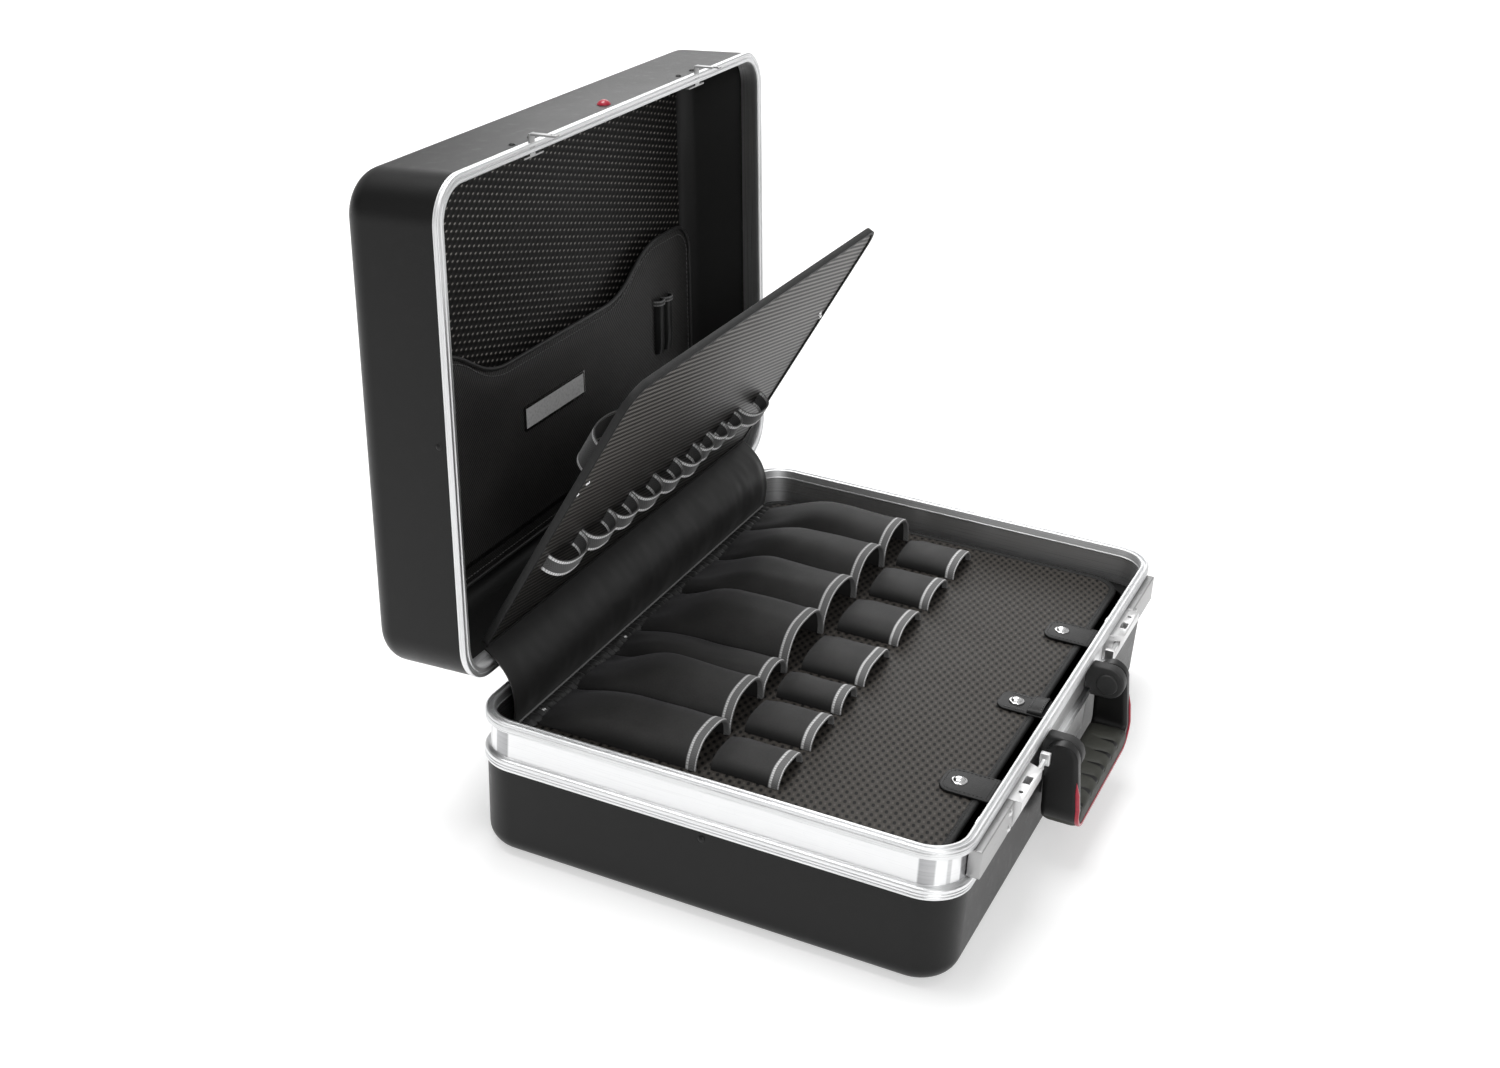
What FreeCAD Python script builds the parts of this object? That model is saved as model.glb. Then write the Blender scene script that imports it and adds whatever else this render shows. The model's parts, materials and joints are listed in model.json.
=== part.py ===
"""Hard tool case with an aluminium frame, a hinged lid, a folding tool panel and a carrying handle.

Row frame: X runs along the hinge, -Y is the front with the handle and latches, +Z is up.
The origin is the middle of the base's flat underside. All lengths are millimetres.
The case stands open, as it is used: the lid leans back on its hinge and the panel stands up.
"""
import FreeCAD, Part
import os
from math import cos, radians, sin, tan

V = FreeCAD.Vector

# Overall size of the case
case_length = 490.0
case_depth = 351.6
corner_radius = 30.5
base_height = 105.5
lid_depth = 75.3
lid_gap = 1.0
wall = 3.0
fit = 0.2
overrun = 5.0

# Base frame section, from the outer face inwards and from the lip down
lip_width = 6.6
lip_height = 7.5
lip_groove_depth = 1.1
lip_bead_width = 2.4
lip_round = 1.8
web_height = 21.0
web_recess = 4.0
bead_height = 9.0
bead_groove = 0.9
slot_inset = 1.5
slot_depth = 7.0
slot_play = 1.3
frame_tail = 12.0
frame_rib = 0.8

# Base shell
shell_inset = 1.7
base_draft = 2.2
base_round = 14.0

# Lid frame section
lid_band = 4.2
lid_lip_width = 7.4
lid_flange = 16.0
lid_flange_wall = 2.4
lid_flange_gap = 0.8
lid_round = 17.0
lid_draft = 1.2
lid_inset = 0.4

# Hinge along the back edge
hinge_offset = 6.7
hinge_rise = 7.5
lid_open_angle = 94.2
knuckle_radius = 3.5
knuckle_count = 19
knuckle_length = 20.0
knuckle_gap = 0.4
pin_radius = 1.5
pin_fit = 0.05
leaf_thickness = 1.4
leaf_tail = 8.0
leaf_reach = 29.0
rivet_radius = 2.4
rivet_height = 1.3

# Board in the base, its binding and its ledge
board_drop = 27.0
board_thickness = 3.0
board_gap = 5.0
board_corner = 24.0
binding_width = 4.0
binding_proud = 0.9
ledge_width = 12.0
ledge_thickness = 2.4

# Fabric pockets on the board
fabric = 1.4
pocket_length = 119.0
pocket_back_gap = 17.2
pocket_side_margin = 36.4
pocket_width_shares = [0.118, 0.122, 0.09, 0.15, 0.146, 0.133, 0.124]
pocket_heights = [20.0, 25.0, 16.5, 30.0, 27.5, 28.5, 27.0]
pocket_station_shares = [0.0, 0.28, 0.62, 1.0]
pocket_rise_shares = [0.14, 0.42, 0.86, 1.0]
side_gap = 2.0
binding_tape = 5.0
tape_thickness = 0.7
tape_ease = 0.7
low_gap = 8.0
low_length = 50.0
low_height = 12.0
low_width_share = 0.74

# Strip that holds the spine sheet, with its rivets
strip_end_gap = 30.4
strip_back_gap = 7.7
strip_width = 11.0
strip_thickness = 1.8
strip_bead_width = 1.6
strip_bead_gap = 0.3
strip_rivet_margin = 24.5
strip_rivet_shares = [-1.0, -0.333, 0.333, 1.0]
strip_rivet_radius = 2.6
strip_rivet_height = 1.3

# Folding tool panel and its spine sheet
pivot_inset = 15.8
panel_foot_out = 9.2
panel_foot_rise = 32.5
panel_angle = 117.0
panel_length = 237.0
panel_side_gap = 33.0
panel_thickness = 3.0
panel_corner = 20.0
panel_foot_corner = 6.0
panel_edge_width = 3.6
panel_edge_proud = 0.7
spine_thickness = 1.8
spine_end_gap = 4.0
spine_sag = 13.0
spine_gap = 2.4
front_loop_centre_shares = [-0.392, -0.288, -0.203, -0.116, -0.033, 0.047, 0.113, 0.175, 0.234, 0.33]
front_loop_width_shares = [0.099, 0.09, 0.075, 0.08, 0.075, 0.071, 0.054, 0.054, 0.054, 0.094]
loop_height = 13.5
loop_height_share = 0.46
front_loop_foot = 64.0
front_loop_length = 14.0
back_loop_count = 4
back_loop_pitch_share = 0.231
back_loop_width = 60.0
back_loop_height = 22.0
back_loop_foot = 140.0
back_loop_length = 26.0
panel_rivet_inset = 6.0
panel_rivet_s = 143.0
panel_rivet_radius = 2.2

# Straps, tab and clips at the front of the board
strap_clip_gap = 38.0
strap_width = 30.0
strap_front_gap = 4.2
strap_length = 38.0
strap_thickness = 1.6
snap_radius = 6.0
snap_height = 2.6
snap_inset = 14.0
tab_width = 26.0
tab_front_gap = 42.2
tab_length = 40.0
clip_inset = 85.0
clip_width = 9.0
clip_reach = 9.0
clip_height = 10.5
clip_thickness = 1.4

# Lid interior
liner_thickness = 1.5
liner_gap = 0.3
pocket_depth = 9.0
pocket_side_gap = 19.4
pocket_floor_u = 24.0
pocket_dip_u = 171.0
pocket_ear_u = 203.0
pocket_ear_x = 150.0
pocket_dip_x = 96.0
pocket_corner = 26.0
pocket_edge = 4.0
pen_inset = 64.6
pen_pitch = 14.0
pen_width = 12.0
pen_height = 5.2
pen_foot_u = 106.0
pen_length = 46.0
card_left = -58.0
card_width = 92.0
card_foot_u = 112.0
card_height = 20.0
card_thickness = 0.8
plug_radius = 5.2
plug_height = 3.4
plug_depth_w = 14.5

# Latches on the front band
latch_handle_gap = 30.0
housing_length = 52.0
latch_outer_inset = 26.0
latch_proud = 5.2
housing_proud = 10.0
housing_chamfer = 7.0
latch_margin = 0.4
hasp_offset = 24.0
hasp_width = 8.0
hasp_thickness = 3.0
hasp_window_height = 3.6
hasp_reach = 10.0
hasp_centre_out = 5.4
hole_margin = 1.0
pin_hole_offset = 16.0
pin_hole_radius = 1.6
bolt_height = 3.0
bolt_width = 3.0
bolt_travel = 6.0
bolt_fit = 0.3
trigger_length = 17.0
trigger_height = 7.0
trigger_thickness = 2.0
latch_rivet_inset = 9.0
latch_rivet_pitch = 12.0
latch_rivet_radius = 2.6
latch_rivet_height = 1.3

# Carrying handle
handle_axis_out = 13.4
handle_axis_drop = 20.5
handle_half_width = 70.0
arm_width = 8.5
boss_length = 10.0
boss_radius = 11.0
arm_radius = 12.0
handle_back_out = 4.4
handle_front_out = 30.0
handle_drop = 54.0
bar_height = 17.0
handle_outer_round = 15.0
handle_inner_round = 9.0
inlay_width = 2.4
inlay_depth = 3.0
grip_proud = 1.3
groove_count = 4
groove_radius = 3.0
groove_depth = 1.2
handle_pin_radius = 4.0
handle_gap = 0.4
plate_end_gap = 3.6
plate_thickness = 1.2
bracket_half_length = 50.0
bracket_drop = 24.0

# Sizes worked out from the ones above
half_x = case_length / 2
half_y = case_depth / 2
web_top = base_height - lip_height
bead_top = web_top - web_height
bead_bottom = bead_top - bead_height
rim_z = base_height + lid_gap
hinge_y = half_y + hinge_offset
hinge_z = base_height + hinge_rise
board_half_x = half_x - lip_width - board_gap
board_half_y = half_y - lip_width - board_gap
slot_end = slot_inset + wall + slot_play
board_top = base_height - board_drop
pocket_back_y = board_half_y - pocket_back_gap
pocket_mouth_y = pocket_back_y - pocket_length
low_back_y = pocket_mouth_y - low_gap
low_mouth_y = low_back_y - low_length
strip_half_length = board_half_x - strip_end_gap
strip_y = board_half_y - strip_back_gap
panel_pivot_y = half_y - pivot_inset
panel_foot_y = half_y + panel_foot_out
panel_foot_z = base_height + panel_foot_rise
panel_width = case_length - 2 * panel_side_gap
spine_half_length = strip_half_length - spine_end_gap
strap_front_y = -board_half_y + strap_front_gap
tab_front_y = -board_half_y + tab_front_gap
clip_x = half_x - clip_inset
strap_x = clip_x - strap_clip_gap
clip_top = board_top + clip_height
pocket_half_width = half_x - pocket_side_gap
pen_x = pocket_half_width - pen_inset
latch_inner_x = handle_half_width + latch_handle_gap
latch_split_x = latch_inner_x + housing_length
latch_outer_x = half_x - latch_outer_inset
hasp_x = latch_inner_x + hasp_offset
pin_hole_x = hasp_x + pin_hole_offset
latch_rivet_x = latch_split_x + latch_rivet_inset
handle_axis_z = base_height - handle_axis_drop
handle_bottom_z = handle_axis_z - handle_drop
boss_inner_x = handle_half_width - arm_width - handle_gap - boss_length
plate_half_length = boss_inner_x - plate_end_gap


def corner_arc(before, at, after, radius):
    """The arc of the given radius that rounds the corner at a point, with its start and end."""
    a = (before - at).normalize()
    b = (after - at).normalize()
    bisector = (a + b).normalize()
    half = a.getAngle(b) / 2
    start = at + a * (radius / tan(half))
    end = at + b * (radius / tan(half))
    middle = at + bisector * (radius / sin(half) - radius)
    return start, middle, end


def rounded_face(corners):
    """A flat face through corners given as (point, radius), each rounded by its radius."""
    edges, joints = [], []
    count = len(corners)
    for i, (at, radius) in enumerate(corners):
        before, after = corners[i - 1][0], corners[(i + 1) % count][0]
        if radius > 0:
            joints.append(corner_arc(before, at, after, radius))
        else:
            joints.append((at, None, at))
    for i, (start, middle, end) in enumerate(joints):
        if middle is not None:
            edges.append(Part.Arc(start, middle, end).toShape())
        following = joints[(i + 1) % count][0]
        if end.distanceToPoint(following) > fit / 1000:
            edges.append(Part.makeLine(end, following))
    return Part.Face(Part.Wire(edges))


def outline(inset, z):
    """The case's rounded rectangle, drawn in by inset, at height z."""
    x, y, r = half_x - inset, half_y - inset, corner_radius - inset
    points = [V(-x, -y, z), V(x, -y, z), V(x, y, z), V(-x, y, z)]
    return rounded_face([(p, r) for p in points])


def rounded_slab(x0, x1, y0, y1, z0, z1, radius):
    """An upright block with its four standing edges rounded."""
    points = [V(x0, y0, z0), V(x1, y0, z0), V(x1, y1, z0), V(x0, y1, z0)]
    return rounded_face([(p, radius) for p in points]).extrude(V(0, 0, z1 - z0))


def block(x0, x1, y0, y1, z0, z1):
    """A box between two corners."""
    return Part.makeBox(x1 - x0, y1 - y0, z1 - z0, V(x0, y0, z0))


def band(section):
    """Runs a section, given as (inset, z, corner radius), all round the case's outline."""
    cx, cy = half_x - corner_radius, half_y - corner_radius
    face = rounded_face([(V(cx, half_y - inset, z), r) for inset, z, r in section])
    long_side = face.extrude(V(-cx, 0, 0))
    corner = face.revolve(V(cx, cy, 0), V(0, 0, 1), -90)
    turned = face.copy()
    turned.rotate(V(cx, cy, 0), V(0, 0, 1), -90)
    short_side = turned.extrude(V(0, -cy, 0))
    quarter = long_side.fuse([corner, short_side])
    half = quarter.fuse(quarter.mirror(V(0, 0, 0), V(1, 0, 0)))
    return half.fuse(half.mirror(V(0, 0, 0), V(0, 1, 0))).removeSplitter()


def hollow_shell(inset, draft, z_open, z_closed, closed_round):
    """A drawn shell with one open side, leaning in towards its closed side."""
    way = 1 if z_open > z_closed else -1

    def body(extra, floor, top, radius):
        wires = [outline(inset + draft + extra, floor).OuterWire, outline(inset + extra, top).OuterWire]
        solid = Part.makeLoft(wires, True, True)
        rim = [e for e in solid.Edges if abs(e.BoundBox.ZMin - floor) < fit and e.BoundBox.ZLength < fit]
        return solid.makeFillet(radius, rim)

    outer = body(0, z_closed, z_open, closed_round)
    inner = body(wall, z_closed + way * wall, z_open + way * overrun, closed_round - wall)
    return outer.cut(inner)


def arch_wire(centre, width, height, y, drop=0.0):
    """A flat-footed arch across X, standing at y."""
    left, right = V(centre - width / 2, y, -drop), V(centre + width / 2, y, -drop)
    arc = Part.Arc(left, V(centre, y, height), right).toShape()
    return Part.Wire([arc, Part.makeLine(right, left)])


def fabric_tube(centre, width, heights, stations, closed_back):
    """A sewn fabric tunnel over a flat board: an arch that changes height from station to station."""
    outer = Part.makeLoft([arch_wire(centre, width, h, y) for h, y in zip(heights, stations)], True)
    mouth, back = stations[-1], stations[0]
    way = 1 if mouth > back else -1
    inner_stations = list(stations)
    inner_stations[-1] = mouth + way * fabric
    inner_stations[0] = back + way * fabric if closed_back else back - way * fabric
    sections = []
    for h, y in zip(heights, inner_stations):
        sections.append(arch_wire(centre, width - 2 * fabric, max(h - fabric, fabric / 2), y, fit))
    return outer.cut(Part.makeLoft(sections, True))


def tape_arch(centre, width, height, mouth, inward):
    """The binding tape folded over the mouth of a fabric tunnel."""
    y0, y1 = sorted((mouth, mouth + inward))
    outer_width, outer_height = width + 2 * tape_thickness, height + tape_thickness
    outer = Part.Face(arch_wire(centre, outer_width, outer_height, y0)).extrude(V(0, y1 - y0, 0))
    inner = Part.Face(arch_wire(centre, width, height, y0 - fit)).extrude(V(0, y1 - y0 + 2 * fit, 0))
    return outer.cut(inner)


def dome(radius, height, at, direction):
    """A low rivet head that stands out of a surface."""
    ball = (radius ** 2 + height ** 2) / (2 * height)
    sphere = Part.makeSphere(ball, at + direction * (height - ball), direction)
    return sphere.common(Part.makeCylinder(radius, height, at, direction))


def open_lid_pose(shape):
    """Turns a piece drawn on the closed lid back to the open lid."""
    opened = shape.copy()
    opened.rotate(V(0, hinge_y, hinge_z), V(1, 0, 0), -lid_open_angle)
    return opened


def panel_pose(shape):
    """Places a piece drawn flat (X across, Y up the panel, Z out of its front) on the raised panel."""
    placed = shape.copy()
    placed.rotate(V(0, 0, 0), V(1, 0, 0), panel_angle)
    placed.translate(V(0, panel_foot_y, panel_foot_z))
    return placed


def lid_wall_pose(shape, depth):
    """Places a piece drawn flat (X across, Y from the hinge, Z out of the lid) inside the lid."""
    placed = shape.copy()
    placed.rotate(V(0, 0, 0), V(1, 0, 0), 180)
    placed.translate(V(0, half_y, rim_z + depth))
    return open_lid_pose(placed)


def mirrored(shape):
    """The same piece on the other side of the case."""
    return shape.mirror(V(0, 0, 0), V(1, 0, 0))


def group(shapes):
    """Separate solids kept together in one node."""
    return Part.makeCompound(shapes)


def base_frame():
    """The extruded frame: a lip with two beads, a recessed web, a lower bead and a flange inside."""
    groove_z = base_height - lip_groove_depth
    inner_bead = lip_width - lip_bead_width
    edge_round = lip_groove_depth / 2
    section = [
        (0, web_top, lip_groove_depth), (0, groove_z, lip_round), (lip_round, base_height, edge_round),
        (lip_bead_width, base_height, edge_round), (lip_bead_width + edge_round, groove_z, 0),
        (inner_bead - edge_round, groove_z, 0), (inner_bead, base_height, edge_round),
        (lip_width, base_height, lip_groove_depth),
        (lip_width, bead_bottom - frame_tail, 0), (slot_end, bead_bottom - frame_tail, 0),
        (slot_end, bead_bottom + slot_depth, 0), (slot_inset, bead_bottom + slot_depth, 0),
        (slot_inset, bead_bottom, 0), (bead_groove, bead_bottom, 0),
        (0, bead_bottom + bead_groove, 0), (0, bead_top - lip_round, lip_round),
        (web_recess / 2, bead_top, lip_groove_depth), (web_recess, bead_top, lip_groove_depth),
        (web_recess, web_top, lip_groove_depth),
    ]
    frame = band(section)
    for i in range(3):
        z = web_top - web_height * (i + 1) / 4
        rib = band([(lip_width - fit, z, 0), (lip_width - fit, z + frame_rib, 0),
                    (lip_width + frame_rib, z + frame_rib / 2, 0)])
        frame = frame.fuse(rib)
    groove_low = bead_top - bead_height / 2
    cut = band([(-fit, groove_low, 0), (bead_groove, groove_low + bead_groove / 2, 0),
                (-fit, groove_low + bead_groove, 0)])
    return frame.cut(cut)


def lid_frame():
    """The lid's thinner frame: a grooved face, a band outside and a flange inside the shell."""
    z0 = rim_z
    groove = lip_groove_depth
    middle = lid_lip_width / 2
    flange = lid_inset + wall + lid_flange_gap
    section = [
        (lid_band / 4, z0, groove / 2), (middle - groove, z0, 0), (middle - groove / 2, z0 + groove, 0),
        (middle + groove / 2, z0 + groove, 0), (middle + groove, z0, 0), (lid_lip_width, z0, groove),
        (lid_lip_width, z0 + lid_band, 0), (flange + lid_flange_wall, z0 + lid_band, 0),
        (flange + lid_flange_wall, z0 + lid_flange, 0), (flange, z0 + lid_flange, 0),
        (flange, z0 + lid_band, 0),
        (0, z0 + lid_band, 0), (0, z0 + lid_band / 4, groove / 2),
    ]
    frame = band(section)
    for side in (-1, 1):
        x = side * hasp_x
        half = hasp_width + hole_margin
        notch = block(x - half, x + half, -half_y - overrun, -half_y + lid_lip_width + overrun,
                      z0 - overrun, z0 + hasp_thickness + fit)
        frame = frame.cut(notch)
    return frame


def hinge_rod(radius, start, length):
    """A cylinder on the hinge's axis, from start along X."""
    return Part.makeCylinder(radius, length, V(start, hinge_y, hinge_z), V(1, 0, 0))


def hinge_leaf(on_lid):
    """One leaf of the long hinge, with every second knuckle."""
    face_y = half_y
    bend_z = hinge_z - leaf_tail
    out = hinge_y - face_y
    section = [
        V(0, face_y, bend_z - leaf_reach), V(0, face_y + leaf_thickness, bend_z - leaf_reach),
        V(0, face_y + leaf_thickness, bend_z), V(0, hinge_y, hinge_z - knuckle_radius),
        V(0, hinge_y - knuckle_radius * cos(radians(30)), hinge_z - knuckle_radius * sin(radians(30))),
        V(0, face_y + fit, bend_z + leaf_thickness), V(0, face_y + fit, bend_z), V(0, face_y, bend_z - fit),
    ]
    total = knuckle_count * knuckle_length
    plate = rounded_face([(p, 0) for p in section]).extrude(V(total, 0, 0))
    plate.translate(V(-total / 2, 0, 0))
    clear = knuckle_radius + knuckle_gap
    leaf = plate
    for i in range(knuckle_count):
        x = -total / 2 + i * knuckle_length
        mine = (i % 2 == 1) == on_lid
        if mine:
            start, length = x + knuckle_gap / 2, knuckle_length - knuckle_gap
            leaf = leaf.fuse(hinge_rod(knuckle_radius, start, length))
        else:
            start, length = x - knuckle_gap / 2, knuckle_length + knuckle_gap
            leaf = leaf.cut(hinge_rod(clear, start, length))
    bore_length = total + 2 * overrun
    leaf = leaf.cut(hinge_rod(pin_radius + pin_fit, -bore_length / 2, bore_length))
    leaf = leaf.removeSplitter()
    if on_lid:
        leaf.rotate(V(0, hinge_y, hinge_z), V(0, 1, 0), 180)
    return leaf


def hinge_rivets(on_lid):
    """A row of rivet heads on one hinge leaf."""
    total = knuckle_count * knuckle_length
    z_off = leaf_tail + leaf_reach / 2
    z = hinge_z + z_off if on_lid else hinge_z - z_off
    heads = []
    for i in range(knuckle_count // 2):
        x = -total / 2 + (2 * i + 1) * total / (2 * (knuckle_count // 2))
        heads.append(dome(rivet_radius, rivet_height, V(x, half_y + leaf_thickness, z), V(0, 1, 0)))
    return group(heads)


def pocket_centres():
    """Where each fabric tunnel on the board stands along X, with its width."""
    places, x = [], -board_half_x + pocket_side_margin
    for share in pocket_width_shares:
        width = 2 * board_half_x * share
        places.append((x + width / 2, width))
        x += width
    return places


def board_pose(shape):
    """Lifts a piece drawn on Z = 0 to the top of the board."""
    placed = shape.copy()
    placed.translate(V(0, 0, board_top))
    return placed


def tube_pocket(index):
    """One large fabric pocket: flat at the spine strip and full at its mouth."""
    centre, width = pocket_centres()[index]
    reach = pocket_mouth_y - pocket_back_y
    stations = [pocket_back_y + reach * s for s in pocket_station_shares]
    heights = [pocket_heights[index] * s for s in pocket_rise_shares]
    return board_pose(fabric_tube(centre, width - side_gap, heights, stations, True))


def front_strap(x):
    """A rounded strap end that lies on the board, with its snap button in the middle."""
    tongue = rounded_slab(x - strap_width / 2, x + strap_width / 2, strap_front_y,
                          strap_front_y + strap_length, board_top + binding_proud,
                          board_top + binding_proud + strap_thickness, strap_width / 4)
    return tongue


def pocket_outline(inset, thickness):
    """The lid pocket's front: raised ears at both sides and a long dip between them, with soft corners."""
    half, low = pocket_half_width - inset, pocket_floor_u + inset
    ear, dip = pocket_ear_u - inset, pocket_dip_u - inset
    soft = pocket_corner - inset
    slope = (pocket_ear_x - pocket_dip_x) / 2
    corners = [
        (V(-half, low, 0), soft / 2), (V(half, low, 0), soft / 2), (V(half, ear, 0), soft),
        (V(pocket_ear_x - inset, ear, 0), slope), (V(pocket_dip_x, dip, 0), slope),
        (V(-pocket_dip_x, dip, 0), slope), (V(-pocket_ear_x + inset, ear, 0), slope),
        (V(-half, ear, 0), soft),
    ]
    return rounded_face(corners).extrude(V(0, 0, thickness))


def lid_pocket():
    """The document pocket: a stiff front held off the liner by a rim along its foot and sides."""
    front = pocket_outline(0, fabric)
    rim = rounded_slab(-pocket_half_width, pocket_half_width, pocket_floor_u,
                       pocket_dip_u - pocket_corner, -pocket_depth, 0, pocket_corner / 2)
    hollow = block(-pocket_half_width + pocket_edge, pocket_half_width - pocket_edge,
                   pocket_floor_u + pocket_edge, pocket_dip_u, -pocket_depth - fit, fit / 2)
    return front.fuse(rim.cut(hollow)).removeSplitter()


def latch_housing():
    """The latch body on the right, with a square mouth for the hasp and a bolt channel."""
    y_web, y_face = -half_y + web_recess, -half_y - latch_proud
    y_out = -half_y - housing_proud
    z0, z1 = bead_top + latch_margin, web_top - latch_margin
    x0, x1 = latch_inner_x, latch_split_x
    body = block(x0, x1, y_out, y_web, z0, z1)
    chamfer = [(V(x0, y_out, z0), 0), (V(x0 + housing_chamfer, y_out, z0), 0), (V(x0, y_web, z0), 0)]
    body = body.cut(rounded_face(chamfer).extrude(V(0, 0, z1 - z0)))
    slope = [(V(x0, y_out, z0), 0), (V(x0, y_face, z0), 0), (V(x0, y_out, z1 - trigger_height), 0)]
    body = body.cut(rounded_face(slope).extrude(V(x1 - x0, 0, 0)))
    y_hasp = -half_y - hasp_centre_out
    half_w = hasp_width / 2 + hole_margin
    half_t = hasp_thickness / 2 + hole_margin
    mouth = block(hasp_x - half_w, hasp_x + half_w, y_hasp - half_t, y_hasp + half_t,
                  z1 - hasp_reach - 2 * hole_margin, z1 + overrun)
    half_b = bolt_width / 2 + bolt_fit
    channel = block(x0 - overrun, x1 - wall, y_hasp - half_b, y_hasp + half_b,
                    bolt_z() - bolt_fit, bolt_z() + bolt_height + bolt_fit)
    hole_foot = V(pin_hole_x, y_hasp, z1 - hasp_reach / 2)
    pin_hole = Part.makeCylinder(pin_hole_radius, hasp_reach, hole_foot, V(0, 0, 1))
    return body.cut(mouth).cut(channel).cut(pin_hole)


def bolt_z():
    """The underside of the sliding bolt: its top clears the hasp window's upper edge."""
    window_top = web_top - latch_margin - hasp_reach + wall / 2 + hasp_window_height
    return window_top - hasp_window_height + (hasp_window_height - bolt_height) / 2


def latch_slide():
    """The sliding bolt on the right with its thumb trigger."""
    y_hasp = -half_y - hasp_centre_out
    mouth_edge = hasp_x - hasp_width / 2 - hole_margin
    x_tip = mouth_edge - bolt_fit
    x0 = latch_inner_x - trigger_length
    z0 = bolt_z()
    bolt = block(x0, x_tip, y_hasp - bolt_width / 2, y_hasp + bolt_width / 2, z0, z0 + bolt_height)
    rounding = trigger_thickness / 3
    pad = rounded_slab(x0 - trigger_thickness, x0 + trigger_thickness, y_hasp - trigger_height / 2,
                       y_hasp + trigger_height / 2, z0 - trigger_thickness, z0 + trigger_height, rounding)
    return bolt.fuse(pad).removeSplitter()


def latch_plate():
    """The long cover plate outboard of the latch body, seated in the web."""
    y_web, y_face = -half_y + web_recess, -half_y - latch_proud
    plate = block(latch_split_x + latch_margin, latch_outer_x, y_face, y_web,
                  bead_top + latch_margin, web_top - latch_margin)
    edges = [e for e in plate.Edges if abs(e.BoundBox.YMax - y_face) < fit]
    return plate.makeFillet(latch_margin * 2, edges)


def hasp():
    """The right hasp: a plate let into the lid's rim, an ear inside and a windowed tongue outside."""
    y_tongue = -half_y - hasp_centre_out
    half_w, half_t = hasp_width / 2, hasp_thickness / 2
    z0 = rim_z + fit
    plate = block(hasp_x - hasp_width, hasp_x + hasp_width, y_tongue - half_t,
                  -half_y + lid_lip_width + hasp_thickness, z0, z0 + hasp_thickness - fit)
    foot_z = web_top - latch_margin - hasp_reach
    tongue = block(hasp_x - half_w, hasp_x + half_w, y_tongue - half_t, y_tongue + half_t, foot_z, z0 + fit)
    wz = bolt_z() - (hasp_window_height - bolt_height) / 2
    window = block(hasp_x - half_w - fit, hasp_x + half_w - hasp_thickness / 2, y_tongue - hasp_thickness,
                   y_tongue + hasp_thickness, wz - fit, wz + hasp_window_height + fit)
    ear = block(hasp_x - hasp_width, hasp_x + hasp_width, -half_y + lid_lip_width + fit,
                -half_y + lid_lip_width + hasp_thickness, z0, z0 + lid_band + hasp_thickness)
    return plate.fuse([tongue, ear]).cut(window).removeSplitter()


def handle_profile(inset, y0, y1):
    """The handle's bow seen from the front, drawn in all round by inset, between two depths."""
    outer, inner = handle_half_width - inset, handle_half_width - arm_width + inset
    low, bar = handle_bottom_z + inset, handle_bottom_z + bar_height - inset
    top = handle_axis_z
    soft_out, soft_in = handle_outer_round - inset, handle_inner_round + inset
    corners = [
        (V(-outer, y0, top), 0), (V(-outer, y0, low), soft_out), (V(outer, y0, low), soft_out),
        (V(outer, y0, top), 0), (V(inner, y0, top), 0), (V(inner, y0, bar), soft_in),
        (V(-inner, y0, bar), soft_in), (V(-inner, y0, top), 0),
    ]
    return rounded_face(corners).extrude(V(0, y1 - y0, 0))


def handle_core():
    """The handle's stiff bow with an eye at the top of each arm."""
    y_back, y_front = -half_y - handle_back_out, -half_y - handle_front_out
    y_axis = -half_y - handle_axis_out
    bow = handle_profile(0, y_back, y_front + inlay_depth)
    for side in (-1, 1):
        x_in = handle_half_width - arm_width
        x0 = x_in if side > 0 else -handle_half_width
        bow = bow.fuse(Part.makeCylinder(arm_radius, arm_width, V(x0, y_axis, handle_axis_z), V(1, 0, 0)))
        hole = Part.makeCylinder(handle_pin_radius + pin_fit, arm_width - wall + fit,
                                 V(x0 - fit if side > 0 else x0 + wall, y_axis, handle_axis_z), V(1, 0, 0))
        bow = bow.cut(hole)
    return bow.removeSplitter()


def handle_inlay():
    """The thin coloured strip that runs round the bow's outer front edge."""
    y0, y1 = -half_y - handle_front_out + inlay_depth, -half_y - handle_front_out
    full = handle_profile(0, y0, y1)
    outer = handle_half_width - inlay_width
    low = handle_bottom_z + inlay_width
    top = handle_axis_z + overrun
    core = rounded_face([
        (V(-outer, y0 + fit, top), 0), (V(-outer, y0 + fit, low), handle_outer_round - inlay_width),
        (V(outer, y0 + fit, low), handle_outer_round - inlay_width), (V(outer, y0 + fit, top), 0),
    ]).extrude(V(0, y1 - y0 - 2 * fit, 0))
    return full.cut(core)


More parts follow.
